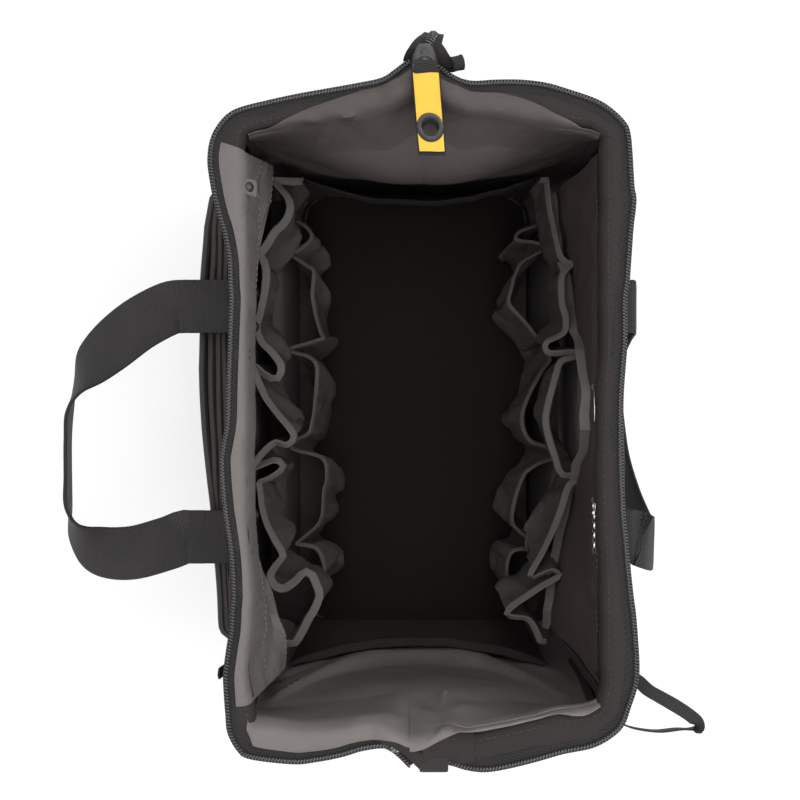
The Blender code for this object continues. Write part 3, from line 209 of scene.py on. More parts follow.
def pinched(grid, inward, spot, depth, lowest=-1):
    """Folds that run out from a place where the cloth is caught, given as seen from above."""
    out = grid.copy()
    for r, row in enumerate(grid):
        for c, p in enumerate(row):
            scale = unit_size(p[2])
            x = (p[0] - CAMERA_AT[0]) / scale - (spot[0] - HALF_IMAGE)
            y = (CAMERA_AT[1] - p[1]) / scale - (spot[1] - HALF_IMAGE)
            far = math.hypot(x, y)
            turn = math.atan2(y, x) + 0.9 * math.exp(-far / 30)
            swing = (math.sin(4 * turn + 1.2 * ripple(p, 0.05, 4.0))
                     + 0.3 * math.sin(9 * turn + 2 * ripple(p, 0.03, 9.0)))
            swing = max(lowest, swing - 0.3 * (1 - abs(swing)))
            height = min(1, (far / 16) ** 2) * math.exp(-far / 55)
            edge = min(1, r / 6, (len(grid) - 1 - r) / 2, c / 6, (len(row) - 1 - c) / 6)
            out[r, c] += inward[r, c] * depth * swing * height * edge
    return out


def face_outwards(mesh):
    work = bmesh.new()
    work.from_mesh(mesh)
    bmesh.ops.recalc_face_normals(work, faces=work.faces[:])
    work.to_mesh(mesh)
    work.free()


def new_piece(name, points, faces, finish, corners=None, angle=40):
    mesh = bpy.data.meshes.new(name)
    mesh.from_pydata([tuple(map(float, p)) for p in points], [], faces)
    face_outwards(mesh)
    mesh.materials.append(finish)
    if corners is not None:
        layer = mesh.uv_layers.new(name="cloth_metres")
        place = np.empty(len(mesh.loops), np.int32)
        mesh.loops.foreach_get("vertex_index", place)
        layer.data.foreach_set("uv", np.asarray(corners, np.float32)[place].reshape(-1))
    mesh.validate()
    mesh.shade_smooth()
    mesh.set_sharp_from_angle(angle=math.radians(angle))
    piece = bpy.data.objects.new(name, mesh)
    bpy.context.scene.collection.objects.link(piece)
    return piece


def cloth_piece(name, grid, thickness, finish, shift=0.0):
    """A sheet of real thickness around a surface of points, with its weave laid out in metres."""
    rows, columns = grid.shape[:2]
    normals = grid_normals(grid)
    front = grid + normals * (shift + thickness / 2)
    back = grid + normals * (shift - thickness / 2)
    points = np.concatenate([front.reshape(-1, 3), back.reshape(-1, 3)])
    across = np.stack([along(row) for row in grid])
    down = np.stack([along(grid[:, c]) for c in range(columns)], axis=1)
    flat = np.stack([across, down], axis=2).reshape(-1, 2)
    total = rows * columns
    faces = []
    for r in range(rows - 1):
        for c in range(columns - 1):
            a, b = r * columns + c, (r + 1) * columns + c
            faces.append((a, b, b + 1, a + 1))
            faces.append((total + a, total + a + 1, total + b + 1, total + b))
    border = [c for c in range(columns)] + [r * columns + columns - 1 for r in range(1, rows)]
    border += [(rows - 1) * columns + c for c in range(columns - 2, -1, -1)]
    border += [r * columns for r in range(rows - 2, 0, -1)]
    for here, there in zip(border, border[1:] + border[:1]):
        faces.append((here, there, total + there, total + here))
    return new_piece(name, points, faces, finish, np.concatenate([flat, flat]))


def frames_along(path, up=None):
    """Tangent, side and upward directions at each point of a line."""
    tangent = unit(np.gradient(np.asarray(path, float), axis=0))
    up = np.zeros_like(tangent) + ((0, 0, 1) if up is None else up)
    side = unit(np.cross(tangent, up))
    return tangent, side, np.cross(side, tangent)


def ring_faces(rings, count, closed=False, lids=True):
    """Faces between neighbouring rings of points, and a lid on each open end."""
    faces = []
    for k in range(rings if closed else rings - 1):
        ahead = (k + 1) % rings
        for p in range(count):
            q = (p + 1) % count
            faces.append((k * count + p, k * count + q, ahead * count + q, ahead * count + p))
    if lids and not closed:
        faces.append(tuple(range(count))[::-1])
        faces.append(tuple((rings - 1) * count + p for p in range(count)))
    return faces


def swept(name, path, profile, finish, up=None, closed=False, sizes=None):
    """Carry a profile of sideways and upward distances along a line."""
    path = np.asarray(path, float)
    _, side, rise = frames_along(path, up)
    profile = np.asarray(profile, float)
    sizes = np.ones(len(path)) if sizes is None else sizes
    rings = [spot + (side[k][None] * profile[:, :1] + rise[k][None] * profile[:, 1:]) * sizes[k]
             for k, spot in enumerate(path)]
    girth = along(np.concatenate([profile, profile[:1]]))[:-1]
    flat = np.stack([np.repeat(along(path), len(profile)), np.tile(girth, len(path))], axis=1)
    return new_piece(name, np.concatenate(rings), ring_faces(len(path), len(profile), closed), finish, flat)


def ring_of(radius, sides):
    turn = np.linspace(0, 2 * math.pi, sides, endpoint=False)
    return np.stack([radius * np.cos(turn), radius * np.sin(turn)], axis=1)


def rounded_box_outline(half_a, half_b, radius, steps=4):
    points = []
    for sign_a, sign_b, start in ((1, 1, 0), (-1, 1, 1), (-1, -1, 2), (1, -1, 3)):
        for k in range(steps + 1):
            turn = math.pi / 2 * (start + k / steps)
            points.append((sign_a * (half_a - radius) + radius * math.cos(turn),
                           sign_b * (half_b - radius) + radius * math.sin(turn)))
    return points


def webbing_profile(width, thickness):
    """Section of a woven strap: rounded edges and slightly proud selvedges."""
    half, thick = width / 2, thickness / 2
    top = [(x, thick * (1.0 if abs(x) < half * 0.9 else 0.82)) for x in np.linspace(-half * 0.97, half * 0.97, 10)]
    edge = [(half, thick * 0.35), (half, -thick * 0.35)]
    return np.array(top + edge + [(x, -y) for x, y in top[::-1]] + [(-x, y) for x, y in edge[::-1]])


def webbing_piece(name, centres, widths, width, thickness):
    """A strap along a line; widths are the directions across it."""
    over = np.cross(widths, unit(np.gradient(np.asarray(centres, float), axis=0)))
    return swept(name, centres, webbing_profile(width, thickness), black_webbing, up=over)


def square_to(ways, line):
    """The same directions, turned square to a line."""
    tangent = unit(np.gradient(line, axis=0))
    return unit(ways - tangent * np.sum(ways * tangent, axis=1, keepdims=True))


def turned(name, profile, sides, place, finish, angle=40):
    """Turn a profile of radius and height; place(x, y, height) puts each point on the bag."""
    count = len(profile)
    points = []
    for turn in np.linspace(0, 2 * math.pi, sides, endpoint=False):
        points += [place(r * math.cos(turn), r * math.sin(turn), h) for r, h in profile]
    pairs = [(k * count, (k + 1) % sides * count) for k in range(sides)]
    faces = [(a + p, b + p, b + p + 1, a + p + 1) for a, b in pairs for p in range(count - 1)]
    faces += [(a + count - 1, b + count - 1, b, a) for a, b in pairs]
    return new_piece(name, points, faces, finish, None, angle)


def stitches(name, path, facing, finish, pitch=0.0042, length=0.0027, radius=0.0003):
    """A row of thread stitches along a line that lies on a surface."""
    path = np.asarray(path, float)
    count = max(3, int(along(path)[-1] / pitch))
    spots = evenly(np.concatenate([path, np.zeros_like(path) + facing], axis=1), count)
    points, faces = [], []
    for spot, way, out in zip(spots[:, :3], unit(np.gradient(spots[:, :3], axis=0)), unit(spots[:, 3:])):
        side = np.cross(way, out)
        first = len(points)
        for share, size in ((-0.5, 0.3), (-0.3, 1), (0.3, 1), (0.5, 0.3)):
            centre = spot + way * length * share
            points += [centre + side * radius * size, centre + out * radius * size * 1.3,
                       centre - side * radius * size, centre - out * radius * 0.5 * size]
        faces += [tuple(first + corner for corner in face) for face in ring_faces(4, 4)]
    return new_piece(name, points, faces, finish)


def block(name, outline, low, high, place, finish, bevel=0.0):
    """An outline pushed through a thickness, with softened edges."""
    depths = ((low, 0), (high, 0))
    if bevel:
        depths = ((low, -bevel), (low + bevel, 0), (high - bevel, 0), (high, -bevel))
    outline = np.asarray(outline, float)
    centre = outline.mean(axis=0)
    away = outline - centre
    length = np.maximum(np.linalg.norm(away, axis=1, keepdims=True), 1e-6)
    points = [place(a, b, depth) for depth, grow in depths for a, b in centre + away * (1 + grow / length)]
    return new_piece(name, points, ring_faces(len(depths), len(outline)), finish, None, 30)


def joined(name, pieces):
    """One object from several solids, each with its own finish."""
    first = pieces[0]
    with bpy.context.temp_override(active_object=first, selected_editable_objects=pieces, selected_objects=pieces):
        bpy.ops.object.join()
    first.name = name
    return first


# Finishes

def node_group(name, inputs, outputs):
    """A shared effect; an input without a value is a place, and the others are numbers."""
    group = bpy.data.node_groups.new(name, "ShaderNodeTree")
    for label, value in inputs.items():
        kind = "NodeSocketVector" if value is None else "NodeSocketFloat"
        socket = group.interface.new_socket(label, in_out="INPUT", socket_type=kind)
        if value is not None:
            socket.default_value = value
    for label in outputs:
        group.interface.new_socket(label, in_out="OUTPUT", socket_type="NodeSocketFloat")
    return group, group.nodes.new("NodeGroupInput"), group.nodes.new("NodeGroupOutput")


def sums(tree, kind, first, second=None, third=None):
    """A Math node; its inputs are sockets or numbers."""
    node = tree.nodes.new("ShaderNodeMath")
    node.operation = kind
    for socket, value in zip(node.inputs, (first, second, third)):
        if value is None:
            continue
        if isinstance(value, (int, float)):
            socket.default_value = value
        else:
            tree.links.new(value, socket)
    return node.outputs[0]


def counted(group, given, across, down):
    """Threads or ribs across and down the cloth, from its place in metres."""
    split = group.nodes.new("ShaderNodeSeparateXYZ")
    group.links.new(given.outputs["Place"], split.inputs[0])
    return [sums(group, "MULTIPLY", split.outputs[k], given.outputs[label]) for k, label in enumerate((across, down))]


def humped(group, line):
    """A round hump for each thread or rib."""
    return sums(group, "ABSOLUTE", sums(group, "SINE", sums(group, "MULTIPLY", line, math.pi)))


def noise_over(group, given, size, **values):
    node = group.nodes.new("ShaderNodeTexNoise")
    for label, value in values.items():
        node.inputs[label].default_value = value
    group.links.new(given.outputs["Place"], node.inputs["Vector"])
    group.links.new(given.outputs[size], node.inputs["Scale"])
    return node.outputs[0]


def giving(group, result, **found):
    for label, socket in found.items():
        group.links.new(socket, result.inputs[label])
    return group


def make_weave():
    """Plain weave: warp and weft threads that pass over and under each other."""
    group, given, result = node_group("plain_weave", {"Place": None, "Threads per metre": 1500.0}, ("Height", "Over"))
    warp, weft = counted(group, given, "Threads per metre", "Threads per metre")
    hump = [humped(group, warp), humped(group, weft)]
    crossings = sums(group, "ADD", sums(group, "FLOOR", warp), sums(group, "FLOOR", weft))
    over = sums(group, "FLOORED_MODULO", crossings, 2.0)
    up, down = [sums(group, "MULTIPLY", hump[k], sums(group, "MULTIPLY_ADD", hump[1 - k], 0.5, 0.5)) for k in (0, 1)]
    height = sums(group, "ADD", sums(group, "MULTIPLY", over, up),
                  sums(group, "MULTIPLY", sums(group, "SUBTRACT", 1.0, over), down))
    return giving(group, result, Height=height, Over=over)


def make_ribs():
    """Cross ribs of webbing and zip tape, a little uneven."""
    group, given, result = node_group("cross_ribs", {"Place": None, "Ribs per metre": 700.0, "Rows per metre": 400.0},
                                      ("Height", "Groove"))
    rib, row = counted(group, given, "Ribs per metre", "Rows per metre")
    lean = sums(group, "MULTIPLY", sums(group, "PINGPONG", row, 1.0), 0.6)
    hump = humped(group, sums(group, "ADD", rib, lean))
    seam = sums(group, "POWER", humped(group, row), 0.3)
    height = sums(group, "MULTIPLY_ADD", seam, 0.35, sums(group, "MULTIPLY", hump, 0.65))
    return giving(group, result, Height=height, Groove=sums(group, "SUBTRACT", 1.0, hump))


def make_creases():
    """Soft crumpling and fine crease lines of worn cloth."""
    group, given, result = node_group("crumple", {"Place": None, "Size": 30.0}, ("Height", "Line"))
    swell = noise_over(group, given, "Size", Detail=5, Roughness=0.55, Distortion=0.6)
    ridge = sums(group, "ABSOLUTE", sums(group, "SUBTRACT", swell, 0.5))
    line = sums(group, "SMOOTH_MIN", sums(group, "MULTIPLY", ridge, 9.0), 1.0, 0.2)
    return giving(group, result, Height=sums(group, "MULTIPLY_ADD", line, 0.12, swell),
                  Line=sums(group, "SUBTRACT", 1.0, line))


def make_wear():
    """Uneven fading and lint, as masks."""
    group, given, result = node_group("fade_and_lint", {"Place": None, "Fade size": 12.0, "Lint size": 900.0},
                                      ("Fade", "Lint"))
    fine = noise_over(group, given, "Lint size", Detail=2)
    lint = sums(group, "MULTIPLY", sums(group, "MAXIMUM", sums(group, "SUBTRACT", fine, 0.66), 0.0), 6.0)
    return giving(group, result, Fade=noise_over(group, given, "Fade size", Detail=4), Lint=lint)


weave_group = make_weave()
rib_group = make_ribs()
crease_group = make_creases()
wear_group = make_wear()


def blended(tree, share, low, high):
    mix = tree.nodes.new("ShaderNodeMix")
    mix.data_type = "RGBA"
    for socket, value in ((mix.inputs[0], share), (mix.inputs[6], low), (mix.inputs[7], high)):
        if isinstance(value, (int, float)):
            socket.default_value = value
        elif isinstance(value, tuple):
            socket.default_value = (*value, 1)
        else:
            tree.links.new(value, socket)
    return mix.outputs[2]


def start_finish(name, **values):
    """A material and its shader, with the shader's plain values."""
    finish = bpy.data.materials.new(name)
    finish.use_nodes = True
    shader = finish.node_tree.nodes["Principled BSDF"]
    for label, value in values.items():
        shader.inputs[label.replace("_", " ")].default_value = value
    return finish, finish.node_tree, shader


def placed(tree, place, group, **values):
    """A shared effect, laid out in the cloth's own metres (UV) or the piece's (Object)."""
    node = tree.nodes.new("ShaderNodeGroup")
    node.node_tree = group
    for label, value in values.items():
        node.inputs[label.replace("_", " ")].default_value = value
    metres = tree.nodes.get("Texture Coordinate") or tree.nodes.new("ShaderNodeTexCoord")
    tree.links.new(metres.outputs[place], node.inputs["Place"])
    return node.outputs


def part_of(tree, mask, share):
    return sums(tree, "MULTIPLY", mask, share)


def coloured(tree, shader, colour, fade, uneven, roughness):
    """The finished colour, and a roughness that changes with the fading."""
    tree.links.new(colour, shader.inputs["Base Color"])
    if uneven:
        tree.links.new(sums(tree, "MULTIPLY_ADD", fade, uneven, roughness), shader.inputs["Roughness"])


def bumped(tree, shader, heights):
    """Bump nodes in a row, the coarse ones first; each is a height, a strength and a depth in metres."""
    normal = None
    for height, strength, depth in heights:
        bump = tree.nodes.new("ShaderNodeBump")
        bump.inputs["Strength"].default_value = strength
        bump.inputs["Distance"].default_value = depth
        tree.links.new(height, bump.inputs["Height"])
        if normal:
            tree.links.new(normal, bump.inputs["Normal"])
        normal = bump.outputs[0]
    tree.links.new(normal, shader.inputs["Normal"])


def cloth_finish(name, dark, light, roughness, threads, crumple_size, crumple, sheen=0.0, lint=0.5, shine=0.2):
    """Woven cloth: weave, crumpling, uneven fading and lint."""
    finish, tree, shader = start_finish(name, Roughness=roughness, Sheen_Weight=sheen, Sheen_Roughness=0.5,
                                        Specular_IOR_Level=shine)
    weave = placed(tree, "UV", weave_group, Threads_per_metre=threads)
    crumpling = placed(tree, "Object", crease_group, Size=crumple_size)
    wear = placed(tree, "Object", wear_group)
    faded = blended(tree, wear["Fade"], dark, light)
    threaded = blended(tree, part_of(tree, weave["Over"], 0.35), faded, light)
    creased = blended(tree, part_of(tree, crumpling["Line"], 0.12), threaded, light)
    dusty = blended(tree, part_of(tree, wear["Lint"], lint), creased, tuple(min(1, 2.2 * c + 0.02) for c in light))
    coloured(tree, shader, dusty, wear["Fade"], 0.2, roughness - 0.1)
    bumped(tree, shader, [(crumpling["Height"], crumple, 0.0025), (weave["Height"], 0.5, 0.0003)])
    return finish


def webbing_finish(name, dark, light, ribs=700.0, rows=420.0):
    """Ribbed webbing, with painted shade darkening the grooves between the ribs so the crests look brighter, and uneven
    fading and lint.
    """
    finish, tree, shader = start_finish(name, Roughness=0.62, Specular_IOR_Level=0.3)
    ribbing = placed(tree, "UV", rib_group, Ribs_per_metre=ribs, Rows_per_metre=rows)
    wear = placed(tree, "Object", wear_group, Fade_size=30.0)
    faded = blended(tree, wear["Fade"], dark, light)
    # Painted shade: the grooves between the ribs are darkened in the colour.
    groove_painted_shade = blended(tree, part_of(tree, ribbing["Groove"], 0.7), faded, tuple(c * 0.35 for c in dark))
    dusty = blended(tree, part_of(tree, wear["Lint"], 0.4), groove_painted_shade, tuple(min(1, 2.5 * c + 0.03) for c in light))
    coloured(tree, shader, dusty, wear["Fade"], 0, 0)
    bumped(tree, shader, [(ribbing["Height"], 0.8, 0.0006)])
    return finish


def metal_finish(name, colour, worn, roughness, metallic=1.0, coat=0.0):
    """Metal with fine scratches and uneven polish."""
    finish, tree, shader = start_finish(name, Roughness=roughness, Metallic=metallic, Coat_Weight=coat)
    wear = placed(tree, "Object", wear_group, Fade_size=180.0, Lint_size=1600.0)
    crumpling = placed(tree, "Object", crease_group, Size=400.0)
    rubbed = blended(tree, part_of(tree, crumpling["Line"], 0.5), colour, worn)
    coloured(tree, shader, rubbed, wear["Fade"], 0.3, roughness - 0.12)
    bumped(tree, shader, [(wear["Fade"], 0.2, 0.0003), (crumpling["Height"], 0.12, 0.0002)])
    return finish


def plastic_finish(name, colour, worn, roughness):
    """Plastic, thread or board with uneven wear."""
    finish, tree, shader = start_finish(name, Roughness=roughness, Specular_IOR_Level=0.7)
    wear = placed(tree, "Object", wear_group, Fade_size=250.0, Lint_size=2500.0)
    coloured(tree, shader, blended(tree, wear["Fade"], colour, worn), wear["Fade"], 0.25, roughness - 0.1)
    bumped(tree, shader, [(wear["Lint"], 0.15, 0.0002)])
    return finish


COATED = {"lint": 0.25, "shine": 0.3}
outer_cloth = cloth_finish("heavy_black_cloth", (0.019, 0.0155, 0.0150), (0.034, 0.0285, 0.0275), 0.85, 1300, 22, 0.3)
hem_cloth = cloth_finish("black_hem_cloth", (0.019, 0.0155, 0.0150), (0.032, 0.027, 0.026), 0.8, 1700, 45, 0.3)
lining_cloth = cloth_finish("grey_coated_lining", (0.125, 0.113, 0.108), (0.175, 0.160, 0.152), 0.6, 2200, 20, 0.6,
                            **COATED)
facing_cloth = cloth_finish("grey_facing_cloth", (0.112, 0.102, 0.098), (0.158, 0.145, 0.139), 0.6, 2200, 45, 0.75,
                            lint=0.3, shine=0.3)
# A darker copy of the grey lining for the back end: painted shade, as the back of the bag lies in shade.
back_lining_shaded = cloth_finish("back_lining_painted_shade", (0.050, 0.042, 0.039), (0.090, 0.077, 0.073), 0.6, 2200, 18, 0.85,
                          **COATED)
worn_binding = cloth_finish("worn_black_binding", (0.040, 0.034, 0.033), (0.062, 0.054, 0.053), 0.75, 2200, 80, 0.3)
pocket_cloth = cloth_finish("grey_pocket_cloth", (0.053, 0.047, 0.044), (0.083, 0.074, 0.070), 0.62, 2200, 30, 0.6,
                            **COATED)
low_pocket_cloth = cloth_finish("dark_pocket_cloth", (0.070, 0.060, 0.056), (0.110, 0.096, 0.090), 0.66, 2200, 30, 0.6,
                                **COATED)
binding_cloth = cloth_finish("grey_binding_tape", (0.095, 0.086, 0.082), (0.138, 0.126, 0.120), 0.7, 2600, 60, 0.25,
                             lint=0.2)
dark_cloth = cloth_finish("dark_inner_cloth", (0.0400, 0.0300, 0.0285), (0.0610, 0.0480, 0.0455), 0.78, 1800, 24, 0.4)
# Black floor cloth, made darker than the other black cloth: partly painted shade at the bottom of the bag.
floor_cloth_shaded = cloth_finish("floor_cloth_painted_shade", (0.0085, 0.0066, 0.0058), (0.0145, 0.0115, 0.0100), 0.8, 1800, 16,
                                  0.3, lint=0.3)
black_binding = cloth_finish("black_binding_tape", (0.015, 0.0125, 0.0122), (0.030, 0.025, 0.0245), 0.75, 2200, 80, 0.2)
label_cloth = cloth_finish("yellow_label_cloth", (0.86, 0.47, 0.045), (0.98, 0.62, 0.10), 0.65, 3200, 60, 0.15,
                           sheen=0.05, lint=0.1)
black_webbing = webbing_finish("black_webbing", (0.012, 0.0105, 0.011), (0.030, 0.026, 0.027))
zip_tape = webbing_finish("black_zip_tape", (0.010, 0.009, 0.0095), (0.022, 0.019, 0.020), 1100, 500)
grey_thread = plastic_finish("grey_thread", (0.10, 0.09, 0.085), (0.17, 0.155, 0.145), 0.6)
black_thread = plastic_finish("black_thread", (0.02, 0.018, 0.018), (0.05, 0.045, 0.044), 0.5)
coil_plastic = plastic_finish("black_coil", (0.020, 0.020, 0.021), (0.06, 0.06, 0.062), 0.24)
board_stock = plastic_finish("stiff_board", (0.045, 0.038, 0.034), (0.075, 0.065, 0.058), 0.75)
black_metal = metal_finish("black_lacquered_metal", (0.010, 0.009, 0.009), (0.028, 0.026, 0.026), 0.42, 0, 0.15)
bright_metal = metal_finish("bright_plated_metal", (0.62, 0.60, 0.58), (0.78, 0.77, 0.75), 0.26)
frame_steel = metal_finish("plain_frame_steel", (0.40, 0.39, 0.38), (0.55, 0.54, 0.52), 0.38)


# Shell outline, as in the part's source

END_COLUMNS = 30
ARC_COLUMNS = 8
SIDE_COLUMNS = 60


def height_share(z):
    return min(z / WALL_TOP, 1)


def half_width(z):
    share = height_share(z)
    return between(BASE_HALF_WIDTH, RIM_HALF_WIDTH, share) + SIDE_BULGE * math.sin(math.pi * share)


def sink(z, end, x):
    """How far an end hangs in under the mouth."""
    if z <= SINK_START or z >= WALL_TOP:
        return 0
    share = (z - SINK_START) / (WALL_TOP - SINK_START)
    radius = between(BASE_CORNER_RADIUS, RIM_CORNER_RADIUS, height_share(z))
    across = min(abs(x) / (half_width(z) - 0.45 * radius), 1)
    return SINK[end] * math.sin(math.pi * share ** 3) * math.cos(math.pi / 2 * across) ** 1.5


def corner_run(z, end, inset):
    """Points from the middle of an end round its corner to the side, for positive x and y."""
    share = height_share(z)
    middle = between(BASE_HALF_LENGTH, RIM_MIDDLE[end], share)
    corner = between(BASE_HALF_LENGTH, RIM_CORNER[end], share)
    radius = between(BASE_CORNER_RADIUS, RIM_CORNER_RADIUS, share)
    wide = half_width(z)
    reach = math.hypot(wide, corner - middle)
    normal = ((middle - corner) / reach, wide / reach)

    def line_y(x, depth):
        return middle - (depth + normal[0] * x) / normal[1]

    centre = (wide - radius, line_y(wide - radius, radius))
    first = math.atan2(normal[1], normal[0])
    turn_x = centre[0] + (radius - inset) * math.cos(first)
    points = [(x, line_y(x, inset)) for x in np.linspace(0, turn_x, END_COLUMNS + 1)[:-1]]
    for angle in np.linspace(first, 0, ARC_COLUMNS + 1):
        points.append((centre[0] + (radius - inset) * math.cos(angle), centre[1] + (radius - inset) * math.sin(angle)))
    return np.array(points)


def half_ring(z, inset, sunk=True):
    """One half of the bag's outline in plan, from the back middle round the side to the front middle."""
    runs = []
    for end in (BACK, FRONT):
        run = corner_run(z, end, inset)
        if sunk:
            run[:, 1] -= [sink(z, end, x) for x in run[:, 0]]
        runs.append(run * (1, end))
    straight = np.linspace(runs[0][-1], runs[1][-1], SIDE_COLUMNS + 1)[1:-1]
    return np.concatenate([runs[0], straight, runs[1][::-1]])


# Columns of the shell's points: all round, and those at the front middle and the corners; the first is at the back
HALF_COUNT = 2 * (END_COLUMNS + ARC_COLUMNS + 1) + SIDE_COLUMNS - 1
RING_COUNT = 2 * HALF_COUNT - 2
FRONT_COLUMN = HALF_COUNT - 1
CORNER_COLUMN = END_COLUMNS + ARC_COLUMNS // 2
CORNERS = {(RIGHT, BACK): CORNER_COLUMN, (RIGHT, FRONT): FRONT_COLUMN - CORNER_COLUMN,
           (LEFT, FRONT): FRONT_COLUMN + CORNER_COLUMN, (LEFT, BACK): RING_COUNT - CORNER_COLUMN}
SHELL_PARTS = ("right_back_half", "right_side", "right_front_half", "left_front_half", "left_side", "left_back_half")


def shell_surface(levels, inset):
    """The bag's outline at each height, inside the drawn outline by the inset."""
    rows = []
    for z in levels:
        half = half_ring(z, inset)
        ring = np.concatenate([half, (half * (-1, 1))[::-1][1:-1]])
        rows.append(np.column_stack([ring, np.full(len(ring), z)]))
    return np.array(rows)


def cut_out(surface, first, last):
    return surface[:, np.arange(first, last + 1) % RING_COUNT]


def creased_shell(surface, depth, size, seed):
    """Inward folds all round, the same on both sides of each seam."""
    padded = np.concatenate([surface[:, -4:], surface, surface[:, :4]], axis=1)
    normals = grid_normals(padded)[:, 4:-4]
    out = surface.copy()
    rows, columns = surface.shape[:2]
    for r in range(rows):
        fade = min(1, r / 3, (rows - 1 - r) / 2)
        for c in range(columns):
            p = surface[r, c] * (1, 1, 1.6)
            lift = 0.5 + 0.5 * fold(p, size, seed) * 0.6 + 0.4 * ripple(p, size * 2.3, seed + 5)
            out[r, c] -= normals[r, c] * depth * fade * max(0, lift)
    return out


def shell_pieces(word, surface, thickness, finish, nodes):
    """Four end halves and two sides, each hiding the solid whose place it takes."""
    cuts = [0, CORNERS[RIGHT, BACK], CORNERS[RIGHT, FRONT], FRONT_COLUMN, CORNERS[LEFT, FRONT], CORNERS[LEFT, BACK],
            RING_COUNT]
    made = {}
    for part, first, last in zip(SHELL_PARTS, cuts, cuts[1:]):
        piece = cloth_piece(f"{part}_{word}", cut_out(surface, first, last), thickness, finish)
        made[part] = bend_with_mouth(piece, nodes.get(part))
    return made


def dressed(piece, node):
    """Hides the solid whose place a piece takes, and returns the piece."""
    if node:
        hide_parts(node)
    return piece


def bend_with_mouth(piece, node=None):
    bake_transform(piece)
    return dressed(piece, node)


def lay_on(piece, node=None, body="bag"):
    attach(piece, body)
    return dressed(piece, node)


# Cloth walls, lining, base and floor

def wall_levels(count):
    """Heights of the shell's rows, closer together higher up."""
    return np.concatenate([np.linspace(0.0035, 0.06, 6)[:-1], np.linspace(0.06, WALL_TOP + 0.001, count)])


def settle_end(lining, end):
    """Let the lining of an end hang loose from its seams, with folds from the place where it is caught."""
    middle = RING_COUNT + (0 if end == BACK else FRONT_COLUMN)
    places = np.arange(middle - CORNER_COLUMN, middle + CORNER_COLUMN + 1) % RING_COUNT
    sewn = lining[:, places]
    held = np.zeros(sewn.shape[:2])
    held[:8] = held[-1] = held[:, :6] = held[:, -6:] = 1
    inward = grid_normals(sewn)
    inward *= -end * np.sign(inward[20, CORNER_COLUMN, 1])
    loose = pinched(settled(sewn, held, 0.055, 0.012), inward, *CAUGHT[end])
    depth = np.sum((loose - sewn) * inward, axis=2, keepdims=True)
    lining[:, places] = loose + inward * np.maximum(0, -0.0006 - depth)


def build_walls():
    """Outer walls and lining, with the gussets, pipings and seam tapes on them; returns the lining's points."""
    outer = creased_shell(shell_surface(wall_levels(46), WALL_INSET), 0.0012, 0.05, 3.0)
    shell_pieces("wall", outer, 0.0028, outer_cloth,
                 {"left_side": "left_side_panel", "right_side": "right_side_panel",
                  "left_back_half": "back_end_panel", "left_front_half": "front_end_panel"})
    lining = creased_shell(shell_surface(wall_levels(40), LINING_INSET), 0.0022, 0.040, 11.0)
    for end in (BACK, FRONT):
        settle_end(lining, end)
    lined = shell_pieces("lining", lining, 0.0009, lining_cloth,
                         {"left_side": "left_lining", "right_side": "right_lining",
                          "left_back_half": "back_lining", "left_front_half": "front_lining"})
    # The back halves of the lining take the darker copy, which is painted shade.
    for side_word in ("left", "right"):
        lined[side_word + "_back_half"].data.materials[0] = back_lining_shaded
    # The left lining behind the upper pockets takes the dark cloth: painted shade for the dark insides of the pockets.
    lower_left = lined["left_side"].data
    lower_left.materials.append(dark_cloth)
    for face in lower_left.polygons:
        face.material_index = int(0.098 < face.center[2] < 0.188 and abs(face.center[1]) < 0.186)
    strip = shell_surface(np.linspace(0.2, WALL_TOP, 14), 0.0014)
    for end, middle in ((BACK, RING_COUNT), (FRONT, FRONT_COLUMN + RING_COUNT)):
        gusset = cloth_piece(END_WORD[end] + "_hinge_gusset", cut_out(strip, middle - 12, middle + 12), 0.0005,
                             hem_cloth)
        lay_on(gusset)
    for (side, end), column in CORNERS.items():
        word = f"{SIDE_WORD[side]}_{END_WORD[end]}"
        run = [np.array([*(corner_run(z, end, 0.0)[CORNER_COLUMN]), z]) * (side, end, 1)
               for z in np.linspace(0.004, WALL_TOP - 0.002, 110)]
        piping = swept(word + "_corner_piping", run, ring_of(0.0019, 8), black_binding, up=(0.3 * side, end, 0))
        bend_with_mouth(piping)
        inner = smooth_line(lining[22:-1:3, column] - np.array([0.0024 * side, 0.0030 * end, 0]), 40)
        tape = swept(word + "_inner_seam", inner, rounded_box_outline(0.0030, 0.0015, 0.0009, 2), black_binding,
                     up=(0.8 * side, end, 0))
        bend_with_mouth(tape)
    return lining


